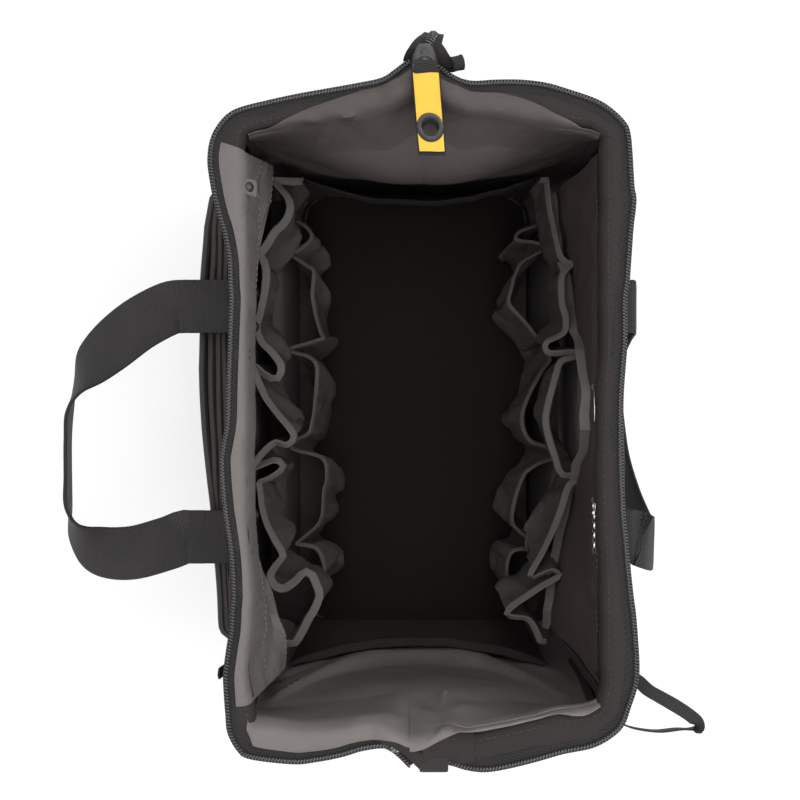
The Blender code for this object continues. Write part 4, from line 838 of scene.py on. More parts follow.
def build_base():
    """Outer base with its piping, the stiff board and the floor cloth."""
    def rounds(inset, shares, z):
        rim = shell_surface([0.0], inset)[0]
        rows = np.array([rim * share for share in shares])
        rows = np.concatenate([rows, rows[:, :1]], axis=1)
        rows[..., 2] = z
        return rows

    shares = [0.0, 0.25, 0.5, 0.72, 0.88, 0.96, 1.0]
    under = rounds(0.0006, shares, 0.0016)
    for row, share in zip(under, shares):
        row[:, 2] += 0.0004 * (1 - share)
    lay_on(cloth_piece("base_cloth", under[::-1], 0.0026, outer_cloth), "base_panel")
    edge = shell_surface([0.0028], -0.0006)[0]
    lay_on(swept("base_piping", edge, ring_of(0.0021, 8), black_binding, closed=True))
    board = rounds(0.0075, (0.0, 0.5, 0.9, 1.0), 0.0048)
    lay_on(cloth_piece("stiff_bottom_board", board[::-1], 0.0026, board_stock), "base_board")
    wide, long = half_width(0.0) - 0.006, BASE_HALF_LENGTH - 0.006
    grid = np.array([[[x * wide, y * long, 0.0082] for x in np.linspace(-1, 1, 41)] for y in np.linspace(1, -1, 71)])
    for p in grid.reshape(-1, 3):
        crease = 0.5 * fold(p, 0.09, 2.0) + 0.5 * ripple(p, 0.04, 8.0)
        corner = max(0, abs(p[0]) / wide + abs(p[1]) / long - 1.75)
        p[:2] *= 1 - 0.24 * corner
        p[2] += max(-0.0006, 0.0016 * crease)
    floor = lay_on(cloth_piece("floor_cloth", grid, 0.0009, floor_cloth_shaded), "floor_lining")


# Mouth: hems over the steel rods, tapes and coils

MOUTH_POINTS = 260
HEM_MIDDLE = 0.2826
HEM_RISE = 0.0072
HEM_START = 0.0010
CAP_REACH = {BACK: 0.028, FRONT: 0.031}
LEFT_CHAIN = [(409, 60), (396, 70), (382, 79), (354, 85), (326, 90), (298, 95), (270, 101), (242, 108), (228, 115),
              (217, 128), (211, 142), (209, 160), (211, 178), (215, 200), (219, 216), (224, 232), (229, 260),
              (230, 284), (231, 298), (230, 326), (228, 382), (227, 421), (223, 446), (221, 463), (224, 505),
              (227, 526), (230, 547), (232, 568), (233, 596), (232, 610), (231, 630), (228, 649), (225, 672),
              (225, 687), (227, 715), (229, 733), (238, 750), (250, 758), (292, 763), (315, 761), (341, 756),
              (361, 750), (382, 747), (391, 750), (400, 757), (410, 767)]
RIGHT_CHAIN = [(436, 63), (453, 76), (471, 82), (496, 81), (521, 81), (546, 84), (567, 90), (596, 100), (612, 110),
               (625, 123), (629, 133), (631, 153), (633, 186), (635, 200), (632, 228), (630, 256), (628, 284),
               (626, 298), (626, 340), (624, 368), (622, 400), (622, 456), (624, 512), (626, 533), (629, 568),
               (632, 596), (635, 620), (638, 666), (636, 687), (630, 706), (623, 725), (611, 737), (592, 747),
               (563, 753), (535, 761), (506, 768), (485, 771), (467, 769), (450, 764), (436, 764), (418, 768)]
# Hem widths in picture units, at shares of the way round from back to front
HEM_WIDTHS = {LEFT: [(0, 13), (0.06, 18), (0.2, 15), (0.3, 13), (0.6, 15), (0.75, 18), (0.84, 32), (0.93, 24), (1, 16)],
              RIGHT: [(0, 13), (0.06, 20), (0.17, 20), (0.27, 20), (0.5, 20), (0.66, 26), (0.76, 24), (0.84, 34),
                      (0.93, 36), (1, 16)]}


def chain_line(side):
    return seen_line(LEFT_CHAIN if side == LEFT else RIGHT_CHAIN, MOUTH_POINTS, CHAIN_HEIGHT)


def rod_line(side):
    half = half_ring(WALL_TOP, ROD_INSET, sunk=False)
    return evenly(half, 300) * (side, 1)


def inward_of(line, side):
    """Level direction from the mouth's edge to its inside."""
    tangent = unit(np.gradient(line, axis=0) * (1, 1, 0))
    return np.column_stack([tangent[:, 1], -tangent[:, 0], np.zeros(len(line))]) * side


def join_at_middle(piece, node=None):
    """Bakes the piece's placement into its points and hides the solid whose place it takes."""
    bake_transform(piece)
    return dressed(piece, node)


def squarish(part):
    """Cosine or sine of a hem's section, which is rounder than a box and flatter than a circle."""
    return math.copysign(abs(part) ** 0.75, part)


def hem_rise(share):
    """Height of the same section at a share of its half width, as a share of its full height."""
    return np.maximum(0, 1 - share ** 2.67) ** 0.375


def averaged(values, reach):
    """Running mean over so many neighbours on each side."""
    count = 2 * reach + 1
    return np.convolve(np.pad(values, reach, mode="edge"), np.ones(count) / count, mode="valid")


def hem_widths(side, line, inward):
    """Width of the hem inside the zip, as seen, and how far it reaches outwards; both cover the steel rod."""
    rod = rod_line(side)
    nearest = rod[np.argmin(np.linalg.norm(line[:, None, :2] - rod[None], axis=2), axis=1)]
    gap = np.sum((nearest - line[:, :2]) * inward[:, :2], axis=1)
    widths = np.interp(np.linspace(0, 1, len(line)), *zip(*HEM_WIDTHS[side])) * IMAGE_UNIT
    return averaged(np.maximum(widths, gap + 0.0056), 6), averaged(np.maximum(0, 0.0010 - (gap - 0.0048)), 4)


def build_hem(side, line, inward, widths, outside):
    """The padded hem as rings round the rod, a little swollen and creased."""
    turn = np.linspace(0, 2 * math.pi, 18, endpoint=False)
    points = []
    for k, way in enumerate(inward):
        half = (widths[k] + outside[k]) / 2
        centre = line[k] + way * (half + HEM_START - outside[k])
        for angle in turn:
            c, s = math.cos(angle), math.sin(angle)
            p = centre - way * squarish(c) * half
            p[2] = HEM_MIDDLE + squarish(s) * (HEM_RISE if s > 0 else 0.0092)
            swell = 0.0007 * ripple(p, 0.018, side * 3.0) + 0.0005 * fold(p, 0.030, side * 7.0)
            points.append(p + np.array([-way[0] * c, -way[1] * c, s]) * swell)
    flat = np.stack([np.repeat(along(line), len(turn)), np.tile(turn * 0.006, len(line))], axis=1)
    word = SIDE_WORD[side]
    hem = new_piece(word + "_rod_hem", points, ring_faces(len(line), len(turn)), hem_cloth, flat)
    join_at_middle(hem, word + "_hem")


def build_mouth(side, lining):
    """One half of the mouth: hem, stitches, tape and coil, and the cloth sewn over the hem."""
    word = SIDE_WORD[side]
    line = chain_line(side)
    inward = inward_of(line, side)
    widths, outside = hem_widths(side, line, inward)
    build_hem(side, line, inward, widths, outside)
    half = widths / 2
    for name, offsets in (("outer", np.full(len(line), 0.0045)), ("inner", widths - 0.0028)):
        row = line + inward * offsets[:, None]
        row[:, 2] = HEM_MIDDLE + HEM_RISE * hem_rise(np.abs(offsets - half - HEM_START) / half) + 0.0003
        sewing = stitches(f"{word}_hem_{name}_stitches", row[6:-6], (0, 0, 1), black_thread)
        join_at_middle(sewing)
    across = ((0.0075, -0.0018), (0.0050, -0.0014), (0.0022, -0.0012), (-0.0013, -0.0014))
    grid = np.stack([line + inward * out + np.array([0, 0, down]) for out, down in across], axis=1)
    join_at_middle(cloth_piece(word + "_tape", grid, 0.0009, zip_tape), word + "_zip_tape")
    coil = helix(word + "_coil", line + inward * 0.0009, 0.00125, 0.0020, 0.00043)
    join_at_middle(coil, word + "_zip_coil")
    centres = line + inward * (half + HEM_START)[:, None]
    for end, order in ((BACK, 1), (FRONT, -1)):
        near = slice(None, None, order)
        build_cap(side, end, centres[near][:60], half[near][:60])
        build_end_facing(side, end, line[near][:70], centres[near][:70], half[near][:70], lining)
    if side == LEFT:
        build_left_facing(line, inward, widths)


# How much dark hem shows outside the end linings, in picture units at distances from the bag's middle
DARK_HEM = {(LEFT, BACK): [(0, 5), (0.035, 5), (0.058, 11), (0.092, 21), (0.11, 24)],
            (RIGHT, BACK): [(0, 7), (0.02, 8), (0.047, 12), (0.078, 24), (0.11, 28)],
            (LEFT, FRONT): [(0, 18), (0.012, 11), (0.03, 8), (0.06, 9), (0.085, 11), (0.11, 12)],
            (RIGHT, FRONT): [(0, 19), (0.016, 27), (0.03, 33), (0.046, 38), (0.078, 36), (0.11, 26)]}


def lining_rings(side, end, lining):
    """Level lines of the lining's upper part at one end, on one side of the middle."""
    rings = []
    for ring in lining[30:]:
        ring = ring[(ring[:, 0] * side > -0.001) & (ring[:, 1] * end > 0.1)]
        rings.append(ring[np.argsort(side * ring[:, 0])])
    return rings


def build_end_facing(side, end, line, centres, halves, lining):
    """Lining cloth that is sewn over the inner part of an end's hem and runs down into the bag."""
    wall = lining_rings(side, end, lining)
    heights = [ring[:, 2].mean() for ring in wall]
    foot_ring = wall[int(np.argmin(np.abs(np.array(heights) - 0.236)))]
    start = -0.009 if side == RIGHT and end == FRONT else -0.0015
    rows = []
    for out in np.linspace(start, 0.110, 60):
        middle, half, edge = [np.interp(out, side * centres[:, 0], column)
                              for column in (centres[:, 1], halves, line[:, 1])]
        rise = between(0.0122, 0.0080, eased((out - CAP_REACH[end] + 0.010) / 0.012))
        dark = np.interp(out, *zip(*DARK_HEM[side, end])) * IMAGE_UNIT
        first = min(0.9, max(-0.93, (end * (edge - middle) - dark) / half))
        row = [np.array([side * out, middle + end * (half + 0.0018 * (u < 0) * abs(u)) * u,
                         HEM_MIDDLE + rise * hem_rise(abs(u)) + 0.0004]) for u in np.linspace(first, -1.04, 12)]
        inside = [np.interp(out, side * ring[:, 0], end * ring[:, 1]) for ring in wall]
        foot_y = np.interp(out, side * foot_ring[:, 0], foot_ring[:, 1]) + end * 0.0004
        foot = np.array([side * out, foot_y, foot_ring[:, 2].mean()])
        top = row[-1] - np.array([0, end * 0.0006, 0.0022])
        for t in np.linspace(0, 1, 9):
            q = top + (foot - top) * t
            if q[2] < WALL_TOP:
                q[1] = end * min(end * q[1], np.interp(q[2], heights, inside) + 0.0004)
            row.append(q)
        rows.append(row)
    grid = np.array(rows)
    for row in grid:
        for c, p in enumerate(row):
            fade = min(1, c / 4, (20 - c) / 3 + 0.1)
            crease = max(0, fold(p * (1, 0.5, 0.5), 0.021, end * 5.0))
            p[2] += 0.0011 * fade * crease + 0.0004 * fade * ripple(p, 0.009, end * 2.0)
    padded = np.concatenate([grid[:1]] * 6 + [grid] + [grid[-1:]] * 2)
    padded = np.concatenate([padded, np.repeat(padded[:, -1:], 6, axis=1)], axis=1)
    inward = np.zeros(padded.shape) + np.array([0, -end, 0.5]) * 0.9
    grid = pinched(padded, inward, *CAUGHT[end], 0)[6:-2, :21]
    # At the back the facing takes the darker copy of the lining, which is painted shade.
    facing = cloth_piece(f"{SIDE_WORD[side]}_{END_WORD[end]}_end_facing", grid if side * end < 0 else grid[::-1],
                         0.0007, lining_cloth if end == FRONT else back_lining_shaded)
    join_at_middle(facing)


def build_cap(side, end, centres, halves):
    """A sleeve of cloth over half a hinge link."""
    reach = CAP_REACH[end]
    rows = []
    for out in np.linspace(-0.0012, reach, 20):
        middle, half = [np.interp(out, side * centres[:, 0], column) for column in (centres[:, 1], halves)]
        rise = between(0.0115, 0.0078, eased((out - reach + 0.010) / 0.010))
        row = []
        for angle in np.linspace(0, 2 * math.pi, 25):
            c, s = math.cos(angle), math.sin(angle)
            q = np.array([side * out, middle + end * squarish(c) * (half + 0.0008),
                          HEM_MIDDLE + squarish(s) * (rise if s > 0 else 0.0098)])
            q[2] += 0.0008 * fold(q, 0.014, end * 3.0) * max(0, s)
            row.append(q)
        row[-1] = row[0]
        rows.append(row)
    grid = np.array(rows)
    cap = cloth_piece(f"{SIDE_WORD[side]}_{END_WORD[end]}_hinge_cap", grid if side * end > 0 else grid[::-1], 0.0009,
                      hem_cloth)
    join_at_middle(cap, END_WORD[end] + "_hem_bridge" if side == LEFT else None)


# Where the light facing of the left wall ends, seen from above, how high that is, and where its patch is seen
FACING_FOOT = 0.189
FACING_PATCH = (247, 189)
FACING_EDGE = [(274, 132), (273, 160), (270, 200), (259, 250), (251, 300), (249, 380), (249, 440), (250, 510),
               (253, 548), (263, 572), (272, 592), (284, 640), (286, 700)]


def build_left_facing(line, inward, widths):
    """The light strip that is sewn over the inner half of the left hem and hangs down the wall."""
    edge = np.array([seen(*p, FACING_FOOT) for p in FACING_EDGE])[::-1]
    rows = []
    for spot, way, width in zip(line, inward, widths):
        if not -0.184 < spot[1] < 0.171:
            continue
        row = []
        for out in np.linspace(0.0060, width + 0.0005, 7):
            share = min(1, abs(out - width / 2 - HEM_START) / (width / 2))
            row.append(spot * (1, 1, 0) + way * out
                       + np.array([0, 0, HEM_MIDDLE + HEM_RISE * hem_rise(share) + 0.0009]))
        top = row[-1] + way * 0.0008 - np.array([0, 0, 0.0040])
        low_y = top[1] - 0.010 * eased((-0.148 - top[1]) / 0.036) + 0.0215 * eased((top[1] - 0.135) / 0.036)
        low_x = np.interp(low_y, edge[:, 1], edge[:, 0])
        foot = np.array([low_x, low_y, FACING_FOOT])
        for t in np.linspace(0, 1, 15):
            q = top + (foot - top) * t
            q[0] = between(top[0], low_x, eased(t) * 0.5 + t * 0.5)
            row.append(q)
        rows.append(row)
    grid = np.transpose(np.array(rows), (1, 0, 2))
    held = np.zeros(grid.shape[:2])
    held[:8] = held[-1] = held[:, 0] = held[:, -1] = 1
    grid = settled(grid, held, 0.035, 0.0035)
    facing = cloth_piece("left_wall_facing", grid, 0.0009, facing_cloth)
    bend_with_mouth(facing)
    normals = grid_normals(grid)
    normals *= np.sign(normals[12, :, 0].mean())
    for name, row in (("seam", 14), ("hem", 20)):
        path = grid[row, 3:-3] + normals[row, 3:-3] * 0.0006
        sewing = stitches("left_wall_facing_" + name, path, (1, 0, 0.4), grey_thread, radius=0.00025)
        bend_with_mouth(sewing)
    build_facing_patch(grid, normals)


def build_facing_patch(grid, normals):
    """A sewn patch with a rivet near the back end of the facing, where the photograph shows it."""
    scale = unit_size(grid[..., 2])
    miss = (np.abs(grid[..., 0] - CAMERA_AT[0] - (FACING_PATCH[0] - HALF_IMAGE) * scale)
            + np.abs(grid[..., 1] - CAMERA_AT[1] + (FACING_PATCH[1] - HALF_IMAGE) * scale))
    row, column = np.unravel_index(np.argmin(miss), miss.shape)
    out = unit(normals[row - 2:row + 3, column - 4:column + 5].mean(axis=(0, 1)) + (0, 0, 0.5))
    place = grid[row, column] + out * 0.0012
    up = unit(np.cross(out, (0, 1, 0)))

    def on_facing(a, b, h):
        return place + up * a + np.array([0, 1, 0]) * b + out * h

    patch = block("facing_patch", rounded_box_outline(0.0062, 0.0052, 0.0012), 0.0002, 0.0010, on_facing, facing_cloth,
                  0.0003)
    profile = [(0.0001, 0.0030), (0.0018, 0.0027), (0.0029, 0.0019), (0.0031, 0.0011), (0.0027, 0.0006)]
    button = turned("facing_rivet", profile, 24, on_facing, black_metal, 50)
    border = [on_facing(a, b, 0.0014) for a, b in rounded_box_outline(0.0052, 0.0042, 0.0008)]
    sewing = stitches("facing_patch_stitches", border + border[:1], out, grey_thread, 0.0024, 0.0016, 0.0002)
    for piece, slot in ((patch, "grey_lining"), (button, "black_metal"), (sewing, "grey_lining")):
        bend_with_mouth(piece)


def helix(name, line, radius, pitch, wire):
    """A coil of wire along a line, as the teeth of a coil zip."""
    steps, sides = 8, 5
    centres = evenly(line, int(along(line)[-1] / pitch) * steps + 1)
    _, side, up = frames_along(centres)
    angle = np.arange(len(centres)) * 2 * math.pi / steps
    wave = np.cos(angle)[:, None] * side * radius * 1.1 + np.sin(angle)[:, None] * up * radius * 0.8
    path = centres + wave
    out = unit(wave)
    cross = np.cross(unit(np.gradient(path, axis=0)), out)
    points = np.stack([path + out * wire * math.cos(a) + cross * wire * math.sin(a)
                       for a in np.linspace(0, 2 * math.pi, sides, endpoint=False)], axis=1).reshape(-1, 3)
    flat = np.stack([np.repeat(along(path), sides), np.tile(np.arange(sides) * 0.0006, len(path))], axis=1)
    return new_piece(name, points, ring_faces(len(path), sides, lids=False), coil_plastic, flat, 60)


# Pockets

LEFT_UPPER_MOUTH = [(299, 143), (298, 152), (285, 152), (277, 157), (273, 163), (273, 180), (277, 188), (285, 197),
                    (288, 208), (283, 220), (273, 230), (265, 243), (258, 254), (262, 263), (264, 273), (262, 293),
                    (258, 313), (255, 327), (260, 343), (270, 353), (279, 367), (275, 377), (265, 372), (255, 364),
                    (250, 370), (255, 380), (263, 397), (272, 410), (283, 423), (292, 436), (286, 443), (276, 440),
                    (266, 446), (255, 460), (253, 470), (262, 466), (275, 462), (281, 467), (270, 476), (258, 481),
                    (258, 487), (260, 503), (265, 523), (273, 540), (281, 555), (275, 563), (268, 575), (272, 586),
                    (283, 591), (295, 585), (307, 574), (315, 587), (317, 597), (305, 620), (293, 643), (285, 660)]
LEFT_LOWER_MOUTH = [(275, 205), (288, 217), (305, 227), (311, 238), (297, 250), (290, 254), (308, 267), (313, 273),
                    (312, 300), (320, 333), (322, 338), (293, 347), (288, 351), (315, 363), (314, 403), (312, 420),
                    (308, 433), (291, 442), (294, 450), (322, 459), (326, 480), (323, 490), (320, 520), (302, 538),
                    (296, 544), (315, 548), (323, 563), (322, 573), (305, 580)]
RIGHT_UPPER_MOUTH = [(540, 145), (545, 157), (549, 197), (560, 254), (573, 264), (563, 275), (563, 300), (567, 320),
                     (564, 334), (547, 343), (550, 352), (576, 351), (580, 357), (562, 362), (556, 380), (549, 405),
                     (548, 427), (555, 453), (564, 474), (583, 470), (580, 480), (570, 487), (560, 517), (545, 550),
                     (531, 576), (552, 569), (560, 576), (540, 588), (508, 613), (530, 619), (541, 640), (546, 665)]
RIGHT_LOWER_MOUTH = [(552, 222), (535, 226), (519, 232), (517, 240), (537, 243), (543, 250), (520, 265), (510, 295),
                     (511, 306), (525, 322), (541, 340), (554, 336), (545, 349), (550, 360), (541, 372), (527, 400),
                     (522, 420), (530, 440), (547, 447), (554, 458), (536, 465), (522, 479), (512, 517), (519, 531),
                     (539, 545), (530, 549), (512, 552), (507, 570), (511, 590), (530, 594)]
# Top, bottom, half length, cloth, binding and material slot
POCKET_ROWS = {"upper": (0.174, 0.104, 0.176, pocket_cloth, binding_cloth, "grey_lining"),
               "lower": (0.098, 0.012, 0.160, low_pocket_cloth, low_pocket_cloth, "dark_cloth")}


def wall_inside(z, side):
    return half_width(z) - (0.0062 if side == LEFT else 0.0112)


def pocket_strip(side, kind, mouth, band):
    """A gathered strip: its mouth runs as in the photograph, its lower edge lies flat on the wall."""
    top, bottom, half_length, cloth, binding, slot = POCKET_ROWS[kind]
    name = f"{SIDE_WORD[side]}_{kind}_pocket_row"
    count = 150
    line = seen_line(mouth, count, top)
    limit = wall_inside(top, side)
    line[:, 0] = side * np.minimum(side * line[:, 0], limit)
    line[:, 1] = np.clip(line[:, 1], -half_length, half_length)
    foot_y = np.linspace(half_length, -half_length, count)
    stand = limit - side * line[:, 0]
    grid = []
    for level in np.linspace(0, 1, 16):
        z = between(bottom, top, level)
        fullness = math.sin(math.pi / 2 * min(1, level / 0.42)) ** 0.8 * between(1.12, 1, level)
        x = wall_inside(z, side) - stand * fullness
        row = np.column_stack([side * x, foot_y + (line[:, 1] - foot_y) * eased(level), np.full(count, z)])
        row[:, 2] += 0.003 * level * np.array([ripple((0, y, 0), 0.03, side * 4.0 + top * 30) for y in row[:, 1]])
        grid.append(row)
    grid = np.array(grid)
    creased = grid.copy()
    normals = grid_normals(grid)
    for r, row in enumerate(grid):
        fade = min(1, r / 3) * min(1, (len(grid) - 1 - r) / 3 + 0.25)
        for c, p in enumerate(row):
            lift = 0.6 * fold(p * (1, 1, 0.45), 0.017, side * 2.0 + top) + 0.6 * ripple(p, 0.025, side * 9.0)
            inner = wall_inside(p[2], side) - side * p[0]
            creased[r, c] += normals[r, c] * 0.0022 * fade * lift * min(1, inner / 0.006)
    held = np.zeros(creased.shape[:2])
    held[0] = held[-1] = held[-2] = held[:, 0] = held[:, -1] = 1
    at_wall = np.array([wall_inside(z, side) for z in np.linspace(0, 1, 16) * (top - bottom) + bottom])
    held[np.abs(creased[..., 0]) > at_wall[:, None] - 0.002] = 1
    creased = wrinkled(settled(creased, held, 0.05, 0.005), 0.0011, 0.014, side * 3.0 + top * 20, True)
    for p in creased.reshape(-1, 3):
        p[0] = side * min(side * p[0], wall_inside(p[2], side) + 0.0004)
    if side == RIGHT:
        creased = creased[:, ::-1]
    strip = lay_on(cloth_piece(name, creased[::-1], 0.0010, cloth), f"{SIDE_WORD[side]}_{kind}_pockets")
    edge = creased[-1]
    tangent, across, _ = frames_along(edge)
    inward = across * np.sign(-side * across[:, :1].mean())
    lean = np.array([0.75 + 0.75 * ripple((0, y, 0), 0.045, side * 3.0 + top) for y in edge[:, 1]])[:, None]
    up = np.cos(lean) * np.array([0, 0, 1.0]) - np.sin(lean) * inward
    section = mirrored([(-0.0007, -band), (-0.0010, -band / 2), (-0.0008, 0.0008), (0, 0.0014)])
    trims = [lay_on(swept(name + "_binding", edge + (0, 0, 0.0008), section, binding, up=up))]
    for face, word in ((-1, "out"), (1, "in")):
        away = np.cross(tangent, up) * face
        sewing = stitches(f"{name}_stitches_{word}", edge - up * band * 0.55 + away * 0.0011, away, grey_thread,
                          radius=0.0002)
        trims.append(lay_on(sewing))


def mirrored(section):
    """A section from its left half; a point on the middle is kept once."""
    return section + [(-x, y) for x, y in section[::-1] if x]


def build_rows():
    for side, kind, mouth, band, flat in ((LEFT, "upper", LEFT_UPPER_MOUTH, 0.0050, (0.078, 0.488)),
                                          (RIGHT, "upper", RIGHT_UPPER_MOUTH, 0.0040, (0.081, 0.461)),
                                          (LEFT, "lower", LEFT_LOWER_MOUTH, 0.0022, (0.101, 0.427)),
                                          (RIGHT, "lower", RIGHT_LOWER_MOUTH, 0.0022, (0.096, 0.446))):
        pocket_strip(side, kind, mouth, band)


def build_end_pockets():
    """Dark panels low down on the ends, with bowed upper edges; each end has its own numbers."""
    half = 0.102
    for end, top, bow, raised, wide, tall in ((BACK, 0.102, 0.024, 0.012, 1.0, 0.099),
                                              (FRONT, 0.125, 0.0105, 0.026, 1.9, 0.124)):
        word = END_WORD[end]
        rows = []
        for z in np.linspace(0.010, top, 14):
            level = (z - 0.010) / (top - 0.010)
            order = half_ring(z, 0.0070)[::end][:END_COLUMNS + ARC_COLUMNS]
            row = []
            for x in np.linspace(half, -half, 60):
                y = np.interp(abs(x), order[:, 0], end * order[:, 1])
                y -= bow * level ** 1.3 * math.cos(math.pi / 2 * x / half) ** 0.9
                p = np.array([x, end * y, z])
                p[2] += raised * level ** 2 * abs(x / half) ** 2.2
                p[1] -= end * 0.0022 * level * (0.5 + 0.5 * fold(p, 0.03, end * 6.0))
                p[2] += 0.0025 * level * ripple((x, 0, 0), 0.035, end * 2.0)
                row.append(p)
            rows.append(row)
        grid = np.array(rows)[:, ::end]
        panel = lay_on(cloth_piece(word + "_low_pocket", grid, 0.0014, dark_cloth), word + "_end_pocket")
        section = mirrored([(-0.0018 * wide, -0.0045), (-0.0020 * wide, 0.0006), (-0.0012 * wide, 0.0024)])
        rim = swept(word + "_low_pocket_binding", grid[-1], section, black_binding,
                    sizes=1 - 0.75 * np.abs(grid[-1, :, 0] / half) ** 10)
        lay_on(rim)


# The outer pockets' mouth and their gap to the wall, and the left one's rim, seen from above
OUTER_TOP = 0.196
OUTER_GAP = 0.0022
OUTER_RIM = [(217, 178), (213, 200), (208, 228), (205, 277), (203, 340), (203, 368), (206, 428), (211, 490),
             (219, 568), (222, 620), (226, 650)]


def outer_standoff(side, y):
    """How far a full pocket stands off the wall."""
    if side == RIGHT:
        return 0.014 * eased((0.160 - abs(y)) / 0.045)
    rim = np.array([seen(*p, OUTER_TOP) for p in OUTER_RIM])[::-1]
    stand = -np.interp(y, rim[:, 1], rim[:, 0]) - half_width(OUTER_TOP) - OUTER_GAP
    return stand * eased((0.1705 - abs(y + 0.002)) / 0.012)


def outer_sheet(side, share, top):
    """One ply of an outer pocket, standing off the wall by a share of the full distance."""
    foot = 0.030
    rows = []
    for z in np.linspace(foot, top, 20):
        full = math.sin(math.pi / 2 * min(1, (z - foot) / 0.083))
        row = []
        for y in np.linspace(0.168, -0.172, 110):
            stand = outer_standoff(side, y) * share
            slack = 0.0025 * ripple((0, y, z), 0.06, side * 5.0 + share) * full * min(1, stand / 0.008)
            row.append([side * (half_width(z) + OUTER_GAP + stand * full + slack), y, z])
        rows.append(row)
    return wrinkled(np.array(rows), 0.0010, 0.04, side * 2.0 + share)[:, ::side]


def build_outer_pockets():
    """Slip pockets outside, as several plies that open one inside the other."""
    for side, plies in ((LEFT, ((1, OUTER_TOP), (0.8, 0.195), (0.6, 0.194), (0.4, 0.193), (0.2, 0.192))),
                        (RIGHT, ((1, OUTER_TOP), (0.6, 0.194)))):
        for ply, (share, top) in enumerate(plies):
            name = f"{SIDE_WORD[side]}_outer_slip_pocket" + (f"_ply_{ply}" if ply else "")
            grid = outer_sheet(side, share, top)
            panel = lay_on(cloth_piece(name, grid, 0.0022, outer_cloth),
                           None if ply else SIDE_WORD[side] + "_outer_pocket")
            section = mirrored([(-0.0022, -0.007), (-0.0025, 0.0008), (-0.0012, 0.0026)])
            rim = lay_on(swept(name + "_binding", grid[-1], section, worn_binding))
            for lift in () if ply else (0.0095, 0.0125):
                line = grid[-1] + np.array([side * 0.0015, 0, -lift])
                sewing = stitches(f"{name}_stitches_{int(lift * 10000)}", line, (side, 0, 0), black_thread)
                lay_on(sewing)


# Zipped pocket on the right wall

ZIP_LINE = 0.262
ZIP_POCKET_TOP = 0.273
ZIP_POCKET_ENDS = (0.170, -0.172)
SLIDER_PIN_X = 0.112421
SLIDER_Y = {"first": 0.016, "second": -0.058}


def zip_pocket_out(z):
    """Distance of the zipped pocket's face from the bag's middle at this height."""
    share = (z - 0.101) / (ZIP_POCKET_TOP - 0.101)
    rise = min(1, math.sin(math.pi * min(max(share, 0), 1)) * 2.2)
    return half_width(z) - 0.0053 - 0.0044 * rise


def face_line(z, first, last, count, out=0.0014):
    """A level line just in front of the pocket's face."""
    return [(zip_pocket_out(z) - out, y, z) for y in np.linspace(first, last, count)]


# Lower edge of the dark panel above the right pockets, seen from above
PANEL_EDGE = [(555, 163), (560, 207), (567, 253), (577, 307), (582, 333), (588, 350), (594, 387), (594, 430),
              (585, 465), (577, 493), (567, 537), (557, 587), (550, 620), (547, 667)]


def panel_edge(spots):
    """Height of the dark panel's edge along the bag, and how far it hangs away from the wall there."""
    found = []
    levels = np.linspace(0.236, 0.158, 60)
    for px, py in PANEL_EDGE:
        points = np.array([seen(px, py, z) for z in levels])
        off = np.array([zip_pocket_out(z) - p[0] for p, z in zip(points, levels)])
        best = int(np.argmin(abs(off)))
        found.append((points[best][1], levels[best], min(0.017, max(0, off[best]))))
    found = np.array(sorted(found))
    return [np.interp(spots, found[:, 0], found[:, k]) for k in (1, 2)]


def zip_pocket_grid(low, high, rows, columns):
    """Points on the pocket's face between two heights, each a number or one for every column."""
    spots = np.linspace(*ZIP_POCKET_ENDS, columns)
    low, high = low + np.zeros(columns), high + np.zeros(columns)
    return np.array([[[zip_pocket_out(z) - 0.0007, y, z] for y, z in zip(spots, high + (low - high) * share)]
                     for share in np.linspace(0, 1, rows)])


